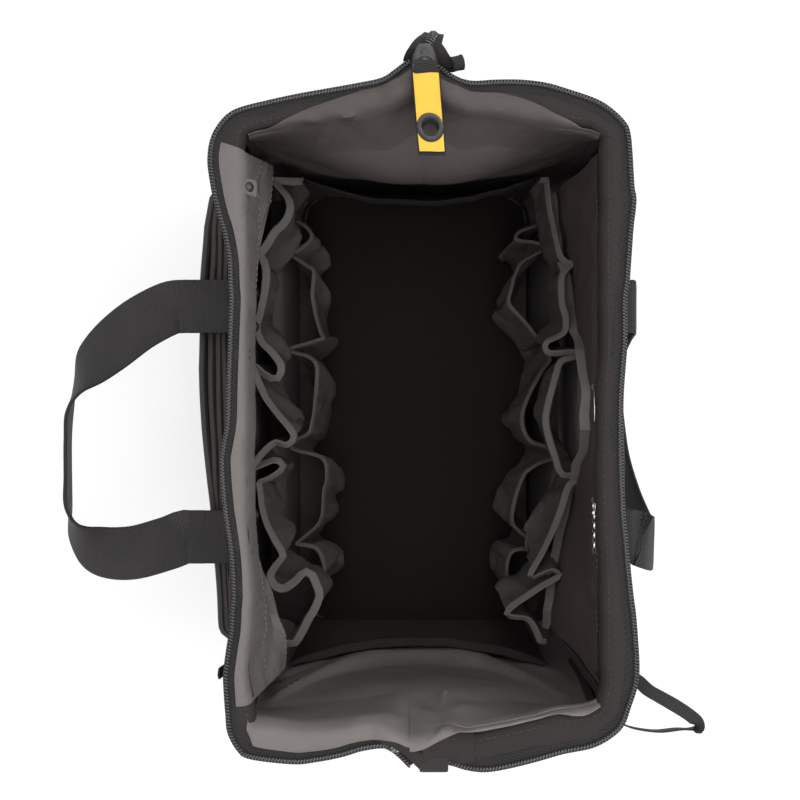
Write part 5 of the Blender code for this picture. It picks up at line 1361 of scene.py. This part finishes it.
def build_zip_pocket():
    """Dark panel, light backing and strip, fine zip and its two sliders on the right wall."""
    columns = 100
    edge, lean = panel_edge(np.linspace(*ZIP_POCKET_ENDS, columns))
    panel = zip_pocket_grid(edge, ZIP_LINE - 0.0016, 20, columns)
    for row in panel:
        for p, hang, low in zip(row, lean, edge):
            close = min(1, (ZIP_LINE - p[2]) / 0.012)
            p[0] -= close * 0.0022 * max(-0.2, fold(p * (1, 1, 0.5), 0.03, 4.0))
            p[0] -= hang * eased((ZIP_LINE - 0.004 - p[2]) / (ZIP_LINE - 0.004 - low))
    backing = zip_pocket_grid(0.100, 0.246, 16, columns) + (0.0017, 0, 0)
    lay_on(cloth_piece("right_row_backing", backing, 0.0009, lining_cloth))
    strips = np.array([panel[-1] + (0.0006 - 0.0066 * t, 0, -0.0045 * t) for t in (0, 0.4, 0.8, 1)])
    strips[1:, :, 0] += 0.0008 * np.array([ripple(p, 0.03, 3.0) for p in panel[-1]])
    lay_on(cloth_piece("right_row_facing", strips, 0.0008, facing_cloth))
    fall = np.linspace(1, 0, len(panel))
    end_line = panel[:, -1] + np.column_stack([fall * 0.0022, -0.014 * fall, fall * 0.004]) - (0.0006, 0, 0)
    end_tape = swept("right_panel_end_binding", end_line, rounded_box_outline(0.0030, 0.0011, 0.0008, 2), black_binding,
                     up=(-0.5, 0, 1))
    lay_on(end_tape)
    leaf = []
    at = zip_pocket_out(ZIP_LINE + 0.009) - 0.0018
    for t in np.linspace(0, 1, 24):
        y = between(-0.118, -0.170, t)
        wide = 0.0003 + 0.0021 * math.sin(math.pi * t ** 1.4) ** 0.7
        leaf.append([(at - wide * k, y, ZIP_LINE + 0.0100 - 0.0025 * k) for k in (0, 0.5, 1)])
    lay_on(cloth_piece("zipped_pocket_inside", np.array(leaf), 0.0006, facing_cloth))
    seam = stitches("zipped_pocket_seam", panel[-1] + (-0.0008, 0, 0.002), (-1, 0, 0.2), black_thread)
    lay_on(seam)
    cloth = lay_on(cloth_piece("zipped_pocket_cloth", panel, 0.0011, dark_cloth), "zip_pocket_panel")
    strip = zip_pocket_grid(ZIP_LINE + 0.0016, ZIP_POCKET_TOP + 0.001, 6, 60)
    lay_on(cloth_piece("zipped_pocket_top_strip", strip, 0.0011, dark_cloth), "zip_pocket_strip")
    for name, way in (("lower", -1), ("upper", 1)):
        z = ZIP_LINE + way * 0.0028
        rows = np.array([face_line(z + d, 0.169, -0.171, 90, 0.0016) for d in (0.0022, 0, -0.0018)])
        lay_on(cloth_piece("inner_zip_tape_" + name, rows, 0.0006, zip_tape))
        path = face_line(ZIP_LINE + way * 0.0062, 0.165, -0.167, 60)
        lay_on(stitches("inner_zip_stitches_" + name, path, (-1, 0, 0), black_thread))
    face = zip_pocket_out(ZIP_LINE) - 0.0009
    line = np.array([(face, y, ZIP_LINE + 0.0003 * math.sin(y * 60)) for y in np.linspace(0.168, -0.170, 200)])
    lay_on(helix("inner_zip_coil", line, 0.0013, 0.0016, 0.00042), "fine_zip_coil")
    for word, y in SLIDER_Y.items():
        build_pocket_slider(word, y)


def circle(radius, count, squash=1.0):
    turn = np.linspace(0, 2 * math.pi, count, endpoint=False)
    return [(radius * math.cos(t), squash * radius * math.sin(t)) for t in turn]


def build_pocket_slider(word, y):
    """A small coil slider: a plate, a bridge over the pull's eye, and a slim pull with a blade or a chain."""
    face = zip_pocket_out(ZIP_LINE) - 0.0007

    def on_wall(a, b, depth):
        return (face - depth, y + a, ZIP_LINE + b)

    def on_pin(a, b, depth):
        return (SLIDER_PIN_X + b, y - a, ZIP_LINE + depth)

    def wire(part, line, radius, up):
        return swept(f"{word}_{part}", line, ring_of(radius, 6), bright_metal, up=up, closed=True)

    half = [(0.0046, 0.0014), (0.0040, 0.0030), (0.0010, 0.0034), (-0.0030, 0.0026), (-0.0046, 0.0020)]
    shape = half + [(a, -b) for a, b in half[::-1]]
    plate = block(word + "_top_plate", shape, 0.0016, 0.0028, on_wall, black_metal, 0.0004)
    arch = [(0.0036, 0.0024), (0.0030, 0.0044), (0.0012, 0.0052)]
    bridge = swept(word + "_bridge", [on_wall(a, 0, d) for a, d in arch + [(-a, d) for a, d in arch[::-1]]],
                   rounded_box_outline(0.0011, 0.0004, 0.00035, 2), black_metal, up=(-1, 0, 0.001))
    slider = joined(word + "_slider_body", [plate, bridge])
    lay_on(slider, word + "_pocket_slider", word + "_slider")
    parts = [wire("pull_eye", [on_pin(a, b, 0) for a, b in circle(0.0017, 14)], 0.00045, (0, 0, 1))]
    if word == "first":
        edge = [(0.0014, 0.0008), (0.008, 0.0008), (0.013, 0.0016), (0.0205, 0.0018), (0.0225, 0.0012)]
        blade = edge + [(0.023, 0)] + [(a, -d) for a, d in edge[::-1]]
        parts.append(block(word + "_pull_blade", blade, -0.0004, 0.0004, lambda a, b, depth: on_pin(a, depth, b),
                           bright_metal, 0.0002))
    else:
        parts.append(wire("ring", [on_pin(0.0040 + a, 0, b) for a, b in circle(0.0030, 20)], 0.0005, (1, 0, 0)))
        ball = [(0.0022 * math.sin(t), 0.0084 - 0.0022 * math.cos(t)) for t in np.linspace(0, math.pi, 9)]
        parts.append(turned(word + "_ball", ball, 14, lambda a, b, h: on_pin(h, a, b), bright_metal))
        for k in range(8):
            start = 0.0104 + 0.0032 * k
            link = [on_pin(start + a, b if k % 2 else 0, 0 if k % 2 else b)
                    for a, b in circle(0.0021, 14, 0.0011 / 0.0021)]
            parts.append(wire(f"link_{k}", link, 0.00042, (0, 0, 1) if k % 2 else (1, 0, 0)))
    lay_on(joined(word + "_pull_tab", parts), word + "_pocket_pull", word + "_pull")


# Main zip's slider, pull and the cloth folds round them

PULL_PIVOT = np.array([0, 0.210941, 0.3031])
PULL_SLOPE = math.radians(24)
PULL_TURN = math.radians(5.6)
EYELET_DOWN = 0.0385


def on_pull(x, down, up):
    """A point of the pull: across, from its pin towards its end, and above its middle."""
    y = -down * math.cos(PULL_SLOPE) + up * math.sin(PULL_SLOPE)
    z = -down * math.sin(PULL_SLOPE) + up * math.cos(PULL_SLOPE)
    return PULL_PIVOT + np.array([x + max(0, down) * math.tan(PULL_TURN), y, z])


def pierced(piece, up):
    """Cut the eyelet's hole; the eyelet's flanges cover its rough edge."""
    centre = Vector(on_pull(0, EYELET_DOWN, up))
    work = bmesh.new()
    work.from_mesh(piece.data)
    inside = [face for face in work.faces if (face.calc_center_median() - centre).length < 0.0064]
    bmesh.ops.delete(work, geom=inside, context="FACES")
    work.to_mesh(piece.data)
    work.free()
    return piece


def build_main_pull():
    """Webbing folded through the slider's ring, the bare yellow label sewn on it, and the eyelet through both."""
    face_up = (0, math.sin(PULL_SLOPE), math.cos(PULL_SLOPE))
    across = np.linspace(-1, 1, 21)
    rows = []
    for down in np.linspace(0.0012, 0.0535, 44):
        half = 0.0087 * between(0.8, 1, eased((down - 0.001) / 0.003))
        rows.append([on_pull(half * s, down, 0.0004 * math.sin(s * 2 + down * 90)) for s in across])
    strap = pierced(cloth_piece("pull_webbing", np.array(rows), 0.0016, black_webbing), 0)
    lay_on(strap, "pull_strap", "main_pull")
    loop = [on_pull(0, 0.0008 - 0.0021 * math.sin(t), 0.0021 * math.cos(t))
            for t in np.linspace(-0.15 * math.pi, 1.15 * math.pi, 14)]
    loop = [on_pull(0, 0.0062, 0.0017)] + loop + [on_pull(0, 0.0062, -0.0015)]
    fold_over = webbing_piece("pull_webbing_fold", loop, [(1, 0, 0)] * len(loop), 0.0140, 0.0011)
    lay_on(fold_over, body="main_pull")
    rows = [[on_pull(0.0082 * s, down, 0.0016 + 0.0002 * math.sin(s * 3 + down * 120)) for s in across]
            for down in np.linspace(0.0060, 0.0526, 44)]
    label = pierced(cloth_piece("yellow_label_bare", np.array(rows), 0.0009, label_cloth), 0.0016)
    lay_on(label, "pull_label", "main_pull")
    border = [on_pull(a, d, 0.0020) for a, d in rounded_path(0.0083, 0.0059, 0.0527, 0.0008)]
    edge = swept("label_black_edge", border, rounded_box_outline(0.00045, 0.0004, 0.0003, 2), black_binding, up=face_up,
                 closed=True)
    lay_on(edge, body="main_pull")
    inner = [on_pull(a, d, 0.0022) for a, d in rounded_path(0.0071, 0.0072, 0.0514, 0.0006)]
    sewing = stitches("label_stitches", inner + [inner[0]], face_up, label_cloth, 0.0024, 0.0016, 0.00022)
    lay_on(sewing, body="main_pull")
    profile = [(0.0051, -0.0016), (0.0060, -0.0024), (0.0078, -0.0021), (0.0084, -0.0012), (0.0080, -0.0008),
               (0.0062, -0.0008), (0.0062, 0.0018), (0.0082, 0.0018), (0.0086, 0.0024), (0.0082, 0.0034),
               (0.0072, 0.0041), (0.0061, 0.0040), (0.0053, 0.0032), (0.0051, 0.0020)]
    eyelet = turned("pull_eyelet_ring", profile, 48, lambda a, b, h: on_pull(a, EYELET_DOWN + b, h), black_metal, 50)
    lay_on(eyelet, "pull_eyelet", "main_pull")


def rounded_path(half, low, high, radius):
    middle = (low + high) / 2
    return [(a, middle + b) for a, b in rounded_box_outline(half, (high - low) / 2, radius, 5)]


def build_main_slider():
    """The big slider as it stands at the back end, and the ring that carries its pull."""
    middle_y, middle_z = 0.2095, 0.2946

    def flat(a, b, depth):
        return (b, middle_y + a, middle_z + depth)

    half = [(0.0000, 0.0046), (0.0020, 0.0060), (0.0045, 0.0065), (0.0090, 0.0060), (0.0130, 0.0046), (0.0150, 0.0034)]
    body = half + [(a, -b) for a, b in half[::-1]]
    post = [(a + 0.0030, b) for a, b in rounded_box_outline(0.0022, 0.0016, 0.0010, 3)]
    arch = [(0.0118, 0.0052), (0.0110, 0.0082), (0.0070, 0.0098), (0.0020, 0.0098), (-0.0004, 0.0080), (0.0006, 0.0054)]
    parts = [block("lower_plate", body, 0.0000, 0.0016, flat, black_metal, 0.0005),
             block("upper_plate", body, 0.0042, 0.0060, flat, black_metal, 0.0006),
             block("post", post, 0.0010, 0.0050, flat, black_metal),
             swept("arch", [flat(a, 0, d) for a, d in arch], rounded_box_outline(0.0019, 0.0007, 0.0005, 3),
                   black_metal, up=(0, 0.01, 1))]
    for side in (-1, 1):
        lip = [flat(a, side * b, 0.0044) for a, b in
               ((0.0010, 0.0054), (0.0045, 0.0064), (0.0090, 0.0059), (0.0135, 0.0043))]
        parts.append(swept("lip", lip, ring_of(0.0008, 8), black_metal))
    lay_on(joined("main_zip_slider", parts), "main_slider")
    ring = [on_pull(0.0068 * math.sin(t), 0.0012 - 0.0062 * math.cos(t) + 0.0008, 0.0004)
            for t in np.linspace(0, 2 * math.pi, 30, endpoint=False)]
    link = swept("slider_ring", ring, ring_of(0.0009, 8), black_metal, up=(0, 0.4, 1), closed=True)
    lay_on(link, body="main_pull")


def build_zip_tail():
    """The zip's tail hangs over the back end, its coil open upwards."""
    tail = [(0.000, 0.198, 0.2938), (0.000, 0.206, 0.2938), (0.000, 0.214, 0.2934), (0.001, 0.222, 0.2930),
            (0.004, 0.230, 0.2905), (0.006, 0.2365, 0.284), (0.0065, 0.2385, 0.276), (0.006, 0.237, 0.268)]
    line = smooth_line(tail, 50)
    half = np.interp(np.linspace(0, 1, 50), [0, 0.35, 0.6, 1], [0.0085, 0.0085, 0.0070, 0.0055])
    rows = np.array([[p + np.array([s * h, 0.0006 * math.sin(s * 3), 0.0007 * math.cos(s * 4) + abs(s) * 0.0006])
                      for s in np.linspace(-1, 1, 13)] for p, h in zip(line, half)])
    lay_on(cloth_piece("zip_tail_tape", rows[::-1], 0.0012, zip_tape), "zip_tail")
    teeth = helix("zip_tail_coil", line[16:44] + (0, 0, 0.0014), 0.0024, 0.0020, 0.00055)
    lay_on(teeth)


def build_end_fold(name, route, width, inward):
    """Cloth that curls over beside the zip's end."""
    count = 40
    rows = []
    for k, p in enumerate(seen_line(route, count)):
        row = []
        for s in np.linspace(0, 1, 12):
            bend = math.pi * 0.62 * s
            off = np.array([inward * width * 0.62 * math.sin(bend), -width * 0.15 * s,
                            -width * (1 - math.cos(bend)) * 0.55])
            q = p + off * (0.8 + 0.3 * math.sin(math.pi * k / (count - 1)))
            row.append(q + np.array([0, 0, 0.0009 * ripple(q, 0.009, inward)]))
        rows.append(row)
    lay_on(cloth_piece(name, np.array(rows)[:, ::inward], 0.0013, hem_cloth))


def build_mouth_ends():
    """The zip's tail and folds, the webbing loop, the front tab and the side tag."""
    build_zip_tail()
    build_end_fold("zip_end_fold_left", [(403, 60, 0.288), (405, 54, 0.292), (409, 47, 0.294), (414, 41, 0.292),
                                         (420, 36, 0.286), (424, 33, 0.276)], 0.009, 1)
    build_end_fold("zip_end_fold_right", [(458, 70, 0.286), (452, 60, 0.292), (447, 51, 0.295), (441, 43, 0.294),
                                          (435, 36, 0.289), (431, 33, 0.277)], 0.018, -1)
    loop = [(0.0200 + 0.0010 * math.sin(t) - 0.0012 * math.cos(t), 0.2155 + 0.0036 * math.cos(t),
             0.2925 + 0.0040 * math.sin(t)) for t in np.linspace(-0.4 * math.pi, 1.4 * math.pi, 22)]
    hang = webbing_piece("webbing_hang_loop", loop, [(0.95, 0.1, 0.3)] * 22, 0.0070, 0.0013)
    lay_on(hang, "hang_loop")
    tab = [(0.0060, y, z) for y, z in ((-0.2095, 0.2925), (-0.2150, 0.2938), (-0.2205, 0.2926), (-0.2232, 0.2885),
                                       (-0.2235, 0.2800), (-0.2225, 0.2700), (-0.2205, 0.2600), (-0.2190, 0.2520))]
    front = webbing_piece("front_end_tab", smooth_line(tab, 40), [(1, 0, 0)] * 40, 0.0176, 0.0020)
    lay_on(front, "front_zip_tab")
    rows = [[(-0.1265 - 0.0050 * math.sin(math.pi * s * 0.5), -0.1690 + 0.0035 * t,
              0.2560 + 0.018 * s - 0.003 * abs(t) * s) for t in np.linspace(-1, 1, 10)] for s in np.linspace(0, 1, 14)]
    tag = cloth_piece("left_side_tag", np.array(rows)[:, ::-1], 0.0012, black_binding)
    bend_with_mouth(tag)


# Handles, anchors and rivets

BACK_ARM_Y = 0.0745
FRONT_ARM_Y = -0.0905
PIVOT_OUT = {LEFT: 0.162354, RIGHT: 0.149354}
STRAP_OVERLAP = 0.0075
RIVET_HEIGHT = 0.190
# Points of a handle's loop: shares outwards, along and upwards, then the way across the webbing
LEFT_HANDLE_SHARES = [
    (0, 1, 0, 0, 1, 0), (0.04, 1, 0, 0, 1, 0), (0.08, 1, 0, 0, 1, 0), (0.2, 0.98, 0.01, 0, 1, 0),
    (0.42, 0.85, 0.02, 0.25, 1, 0), (0.62, 0.68, 0, 0.5, 1, -0.1), (0.8, 0.5, -0.04, 0.7, 0.8, -0.5),
    (0.92, 0.31, -0.08, 0.5, 0.3, -1), (0.985, 0.1, -0.1, 0.3, 0, -1), (1, -0.15, -0.1, 0.3, 0, -1),
    (1, -0.45, -0.1, 0.3, 0, -1), (0.995, -0.74, -0.1, 0.3, -0.1, -1), (0.93, -0.98, -0.08, 0.5, -0.5, -0.8),
    (0.76, -1.12, -0.03, 0.3, -1, -0.3), (0.5, -1.14, 0.01, 0, -1, 0), (0.22, -1.06, 0.01, 0, -1, 0),
    (0.08, -1, 0, 0, -1, 0), (0.04, -1, 0, 0, -1, 0), (0, -1, 0, 0, -1, 0)]
RIGHT_HANDLE_SHARES = [
    (0, 1, 0, 0, 1, 0), (0.05, 1, 0, 0, 1, 0), (0.1, 1, 0, 0, 1, 0), (0.2, 0.99, -0.1, 0, 1, 0),
    (0.26, 0.92, -0.36, 0, 1, -0.15), (0.3, 0.72, -0.7, 0, 0.8, -0.6), (0.42, 0.38, -0.93, 0, 0.3, -1),
    (0.54, 0, -1, 0, 0, -1), (0.68, -0.42, -0.97, 0, -0.1, -1), (0.82, -0.82, -0.8, 0, -0.7, -0.7),
    (0.86, -1.06, -0.5, 0, -1, -0.3), (0.74, -1.1, -0.2, 0, -1, -0.1), (0.42, -1.05, -0.03, 0, -1, 0),
    (0.2, -1.01, -0.03, 0, -1, 0), (0.1, -1, 0, 0, -1, 0), (0.05, -1, 0, 0, -1, 0), (0, -1, 0, 0, -1, 0)]


def build_handles():
    """Webbing loops that turn at the pockets' edges, each with its two anchors."""
    arm_middle = (BACK_ARM_Y + FRONT_ARM_Y) / 2
    arm_half = (BACK_ARM_Y - FRONT_ARM_Y) / 2
    for side, shares, reach, rise in ((LEFT, LEFT_HANDLE_SHARES, 0.092, 0.038),
                                      (RIGHT, RIGHT_HANDLE_SHARES, 0.030, 0.095)):
        word = SIDE_WORD[side]
        root = STRAP_OVERLAP / reach
        rows = np.array([(-root, 1, 0, 0, 1, 0), *shares, (-root, -1, 0, 0, -1, 0)])
        places = np.column_stack([side * (PIVOT_OUT[side] + rows[:, 0] * reach), arm_middle + rows[:, 1] * arm_half,
                                  ANCHOR_HEIGHT + rows[:, 2] * rise])
        ways = rows[:, 3:] * (side, 1, 1)
        both = smooth_line(np.concatenate([places, ways * 0.02], axis=1), 150)
        handle = webbing_piece(word + "_webbing_handle", both[:, :3], square_to(both[:, 3:], both[:, :3]),
                               WEBBING_WIDTH + 0.0002, WEBBING_THICKNESS + 0.0002)
        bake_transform(handle)
        dressed(handle, word + "_handle")
        for arm_y, arm_word in ((BACK_ARM_Y, "back"), (FRONT_ARM_Y, "front")):
            build_anchor(side, arm_y, f"{word}_{arm_word}")


def build_anchor(side, arm_y, word):
    """Webbing sewn and riveted to the wall, which turns outwards under the handle."""
    gap = 0.0004 + WEBBING_THICKNESS / 2
    bend_from, bend = 0.2045, 0.008
    line = [(half_width(z) + gap, z) for z in np.linspace(0.160, bend_from, 9)]
    foot = line[-1][0]
    line += [(foot + bend * (1 - math.cos(t)), bend_from + bend * math.sin(t))
             for t in np.linspace(0.3, math.pi / 2, 6)]
    line.append((PIVOT_OUT[side] - STRAP_OVERLAP + 0.0010, ANCHOR_HEIGHT))
    centres = smooth_line([(side * x, arm_y, z) for x, z in line if x <= line[-1][0]], 60)
    strap = webbing_piece(word + "_anchor_webbing", centres, [(0, 1, 0)] * 60, WEBBING_WIDTH, WEBBING_THICKNESS)
    lay_on(strap, word + "_anchor")
    out = gap + WEBBING_THICKNESS / 2 + 0.0001
    corners = [(-0.016, 0.163), (0.016, 0.163), (0.016, 0.1985), (-0.016, 0.1985), (-0.016, 0.163), (0.016, 0.1985)]
    path = evenly([(side * (half_width(z) + out), arm_y + a, z) for a, z in corners], 160)
    path[:, 0] = [side * (half_width(z) + out) for z in path[:, 2]]
    sewing = stitches(word + "_anchor_box_stitches", path, (side, 0, 0), black_thread, 0.0036, 0.0025, 0.0004)
    lay_on(sewing)
    outside = half_width(RIVET_HEIGHT) + 0.0004 + WEBBING_THICKNESS + 0.0003
    inside = half_width(RIVET_HEIGHT) - 0.0080
    profile = [(r, inside + h) for r, h in ((0.0001, -0.0040), (0.0022, -0.0036), (0.0038, -0.0022), (0.0045, -0.0004),
                                            (0.0040, 0.0003), (0.0020, 0.0004))]
    profile += [(r, outside + h) for r, h in ((0.0020, -0.0002), (0.0044, -0.0002), (0.0047, 0.0004), (0.0040, 0.0011),
                                              (0.0022, 0.0016), (0.0001, 0.0017))]
    for mark, shift in (("a", 0.0125), ("b", -0.0125)):
        rivet = turned(f"{word}_rivet_head_{mark}", profile, 24,
                       lambda a, b, h: (side * h, arm_y + shift + a, RIVET_HEIGHT + b), black_metal, 50)
        lay_on(rivet, f"{word}_rivet_{mark}")


def build_thin_loop():
    """The soft loop that stands out of the front right corner, as it lies in the photograph."""
    route = [(628, 676, 0.245), (637, 680, 0.244), (648, 690, 0.243), (660, 697, 0.241), (674, 705, 0.238),
             (688, 714, 0.233), (696, 721, 0.228), (697, 727, 0.223), (690, 729, 0.221), (678, 729, 0.221),
             (660, 731, 0.223), (645, 730, 0.226), (630, 727, 0.229), (618, 722, 0.231)]
    count = 110
    line = seen_line(route, count)
    ways = np.column_stack([np.interp(np.linspace(0, 1, count), [0, 0.3, 0.48, 0.56, 0.7, 1], part) for part in
                            ([0.45, 0.5, 0.5, 0.3, 0.1, 0.1], [0.75, 0.8, 0.7, 0.3, 0.25, 0.25],
                             [0.55, 0.3, 0.5, 0.9, 1.0, 1.0])])
    loop = webbing_piece("thin_corner_loop", line, square_to(ways, line), 0.0100, 0.0013)
    lay_on(loop, "thin_loop")


# Steel frame under the hems

def show_steel():
    for name in ("left_frame_rod", "right_frame_rod", "back_hinge_link", "front_hinge_link"):
        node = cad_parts[name]
        node.data.materials.clear()
        node.data.materials.append(frame_steel)


# Room

def seen_directly(tree):
    """Rays that come from the camera, through glass or off a shiny surface."""
    ray = tree.nodes.new("ShaderNodeLightPath")
    shown = sums(tree, "MAXIMUM", ray.outputs["Is Camera Ray"], ray.outputs["Is Transmission Ray"])
    return sums(tree, "MAXIMUM", shown, ray.outputs["Is Glossy Ray"])


def build_room():
    """A pale floor that is partly its own light where it is seen, under an even white sky."""
    finish, tree, shader = start_finish("pale_studio_floor", Base_Color=(0.95, 0.95, 0.95, 1), Roughness=0.9,
                                        Specular_IOR_Level=0.1)
    glow = tree.nodes.new("ShaderNodeEmission")
    glow.inputs["Color"].default_value = (1, 1, 1, 1)
    mix = tree.nodes.new("ShaderNodeMixShader")
    tree.links.new(sums(tree, "MULTIPLY", seen_directly(tree), 0.5), mix.inputs[0])
    tree.links.new(shader.outputs[0], mix.inputs[1])
    tree.links.new(glow.outputs[0], mix.inputs[2])
    tree.links.new(mix.outputs[0], tree.nodes["Material Output"].inputs["Surface"])
    mesh = bpy.data.meshes.new("studio_floor")
    reach = 6.0
    mesh.from_pydata([(-reach, -reach, 0), (reach, -reach, 0), (reach, reach, 0), (-reach, reach, 0)], [],
                     [(0, 1, 2, 3)])
    mesh.materials.append(finish)
    ground = bpy.data.objects.new("studio_floor", mesh)
    bpy.context.scene.collection.objects.link(ground)
    world = bpy.data.worlds.new("studio")
    bpy.context.scene.world = world
    world.use_nodes = True
    tree = world.node_tree
    back = tree.nodes["Background"]
    back.inputs["Color"].default_value = (1, 1, 1, 1)
    tree.links.new(sums(tree, "MULTIPLY_ADD", seen_directly(tree), 0.45, 0.55), back.inputs["Strength"])


def add_lamp(name, place, aim, size, power):
    light = bpy.data.lights.new(name, "AREA")
    light.shape = "RECTANGLE"
    light.size, light.size_y = size
    light.energy = power
    lamp = bpy.data.objects.new(name, light)
    lamp.location = place
    lamp.rotation_euler = (Vector(aim) - Vector(place)).to_track_quat("-Z", "Y").to_euler()
    bpy.context.scene.collection.objects.link(lamp)


def add_camera():
    """The photograph's camera, which looks straight down."""
    lens = bpy.data.cameras.new("photo_camera")
    lens.sensor_width = 36
    lens.lens = 18 / VIEW_SHARE
    camera = bpy.data.objects.new("photo_camera", lens)
    camera.location = CAMERA_AT
    bpy.context.scene.collection.objects.link(camera)
    bpy.context.scene.camera = camera


bag_lining = build_walls()
build_base()
for each_side in (LEFT, RIGHT):
    build_mouth(each_side, bag_lining)
build_rows()
build_end_pockets()
build_outer_pockets()
build_zip_pocket()
build_main_pull()
build_main_slider()
build_mouth_ends()
build_handles()
build_thin_loop()
show_steel()
build_room()
for lamp_values in (("soft_top", (0.1, 0.1, 2.3), (0, 0, 0.1), (1.8, 1.8), 20),
                    ("soft_right", (1.7, 0.1, 1.5), (-0.1, -0.05, 0.2), (1.0, 1.4), 22),
                    ("soft_back", (0.2, 1.5, 1.7), (0, -0.15, 0.15), (1.2, 0.9), 7),
                    ("soft_front", (0.3, -1.5, 1.7), (0, 0.15, 0.2), (1.2, 0.9), 8),
                    ("soft_left", (-1.7, -0.1, 1.5), (0.1, 0, 0.2), (1.0, 1.4), 9)):
    add_lamp(*lamp_values)
add_camera()
bpy.context.scene.view_settings.view_transform = "Standard"
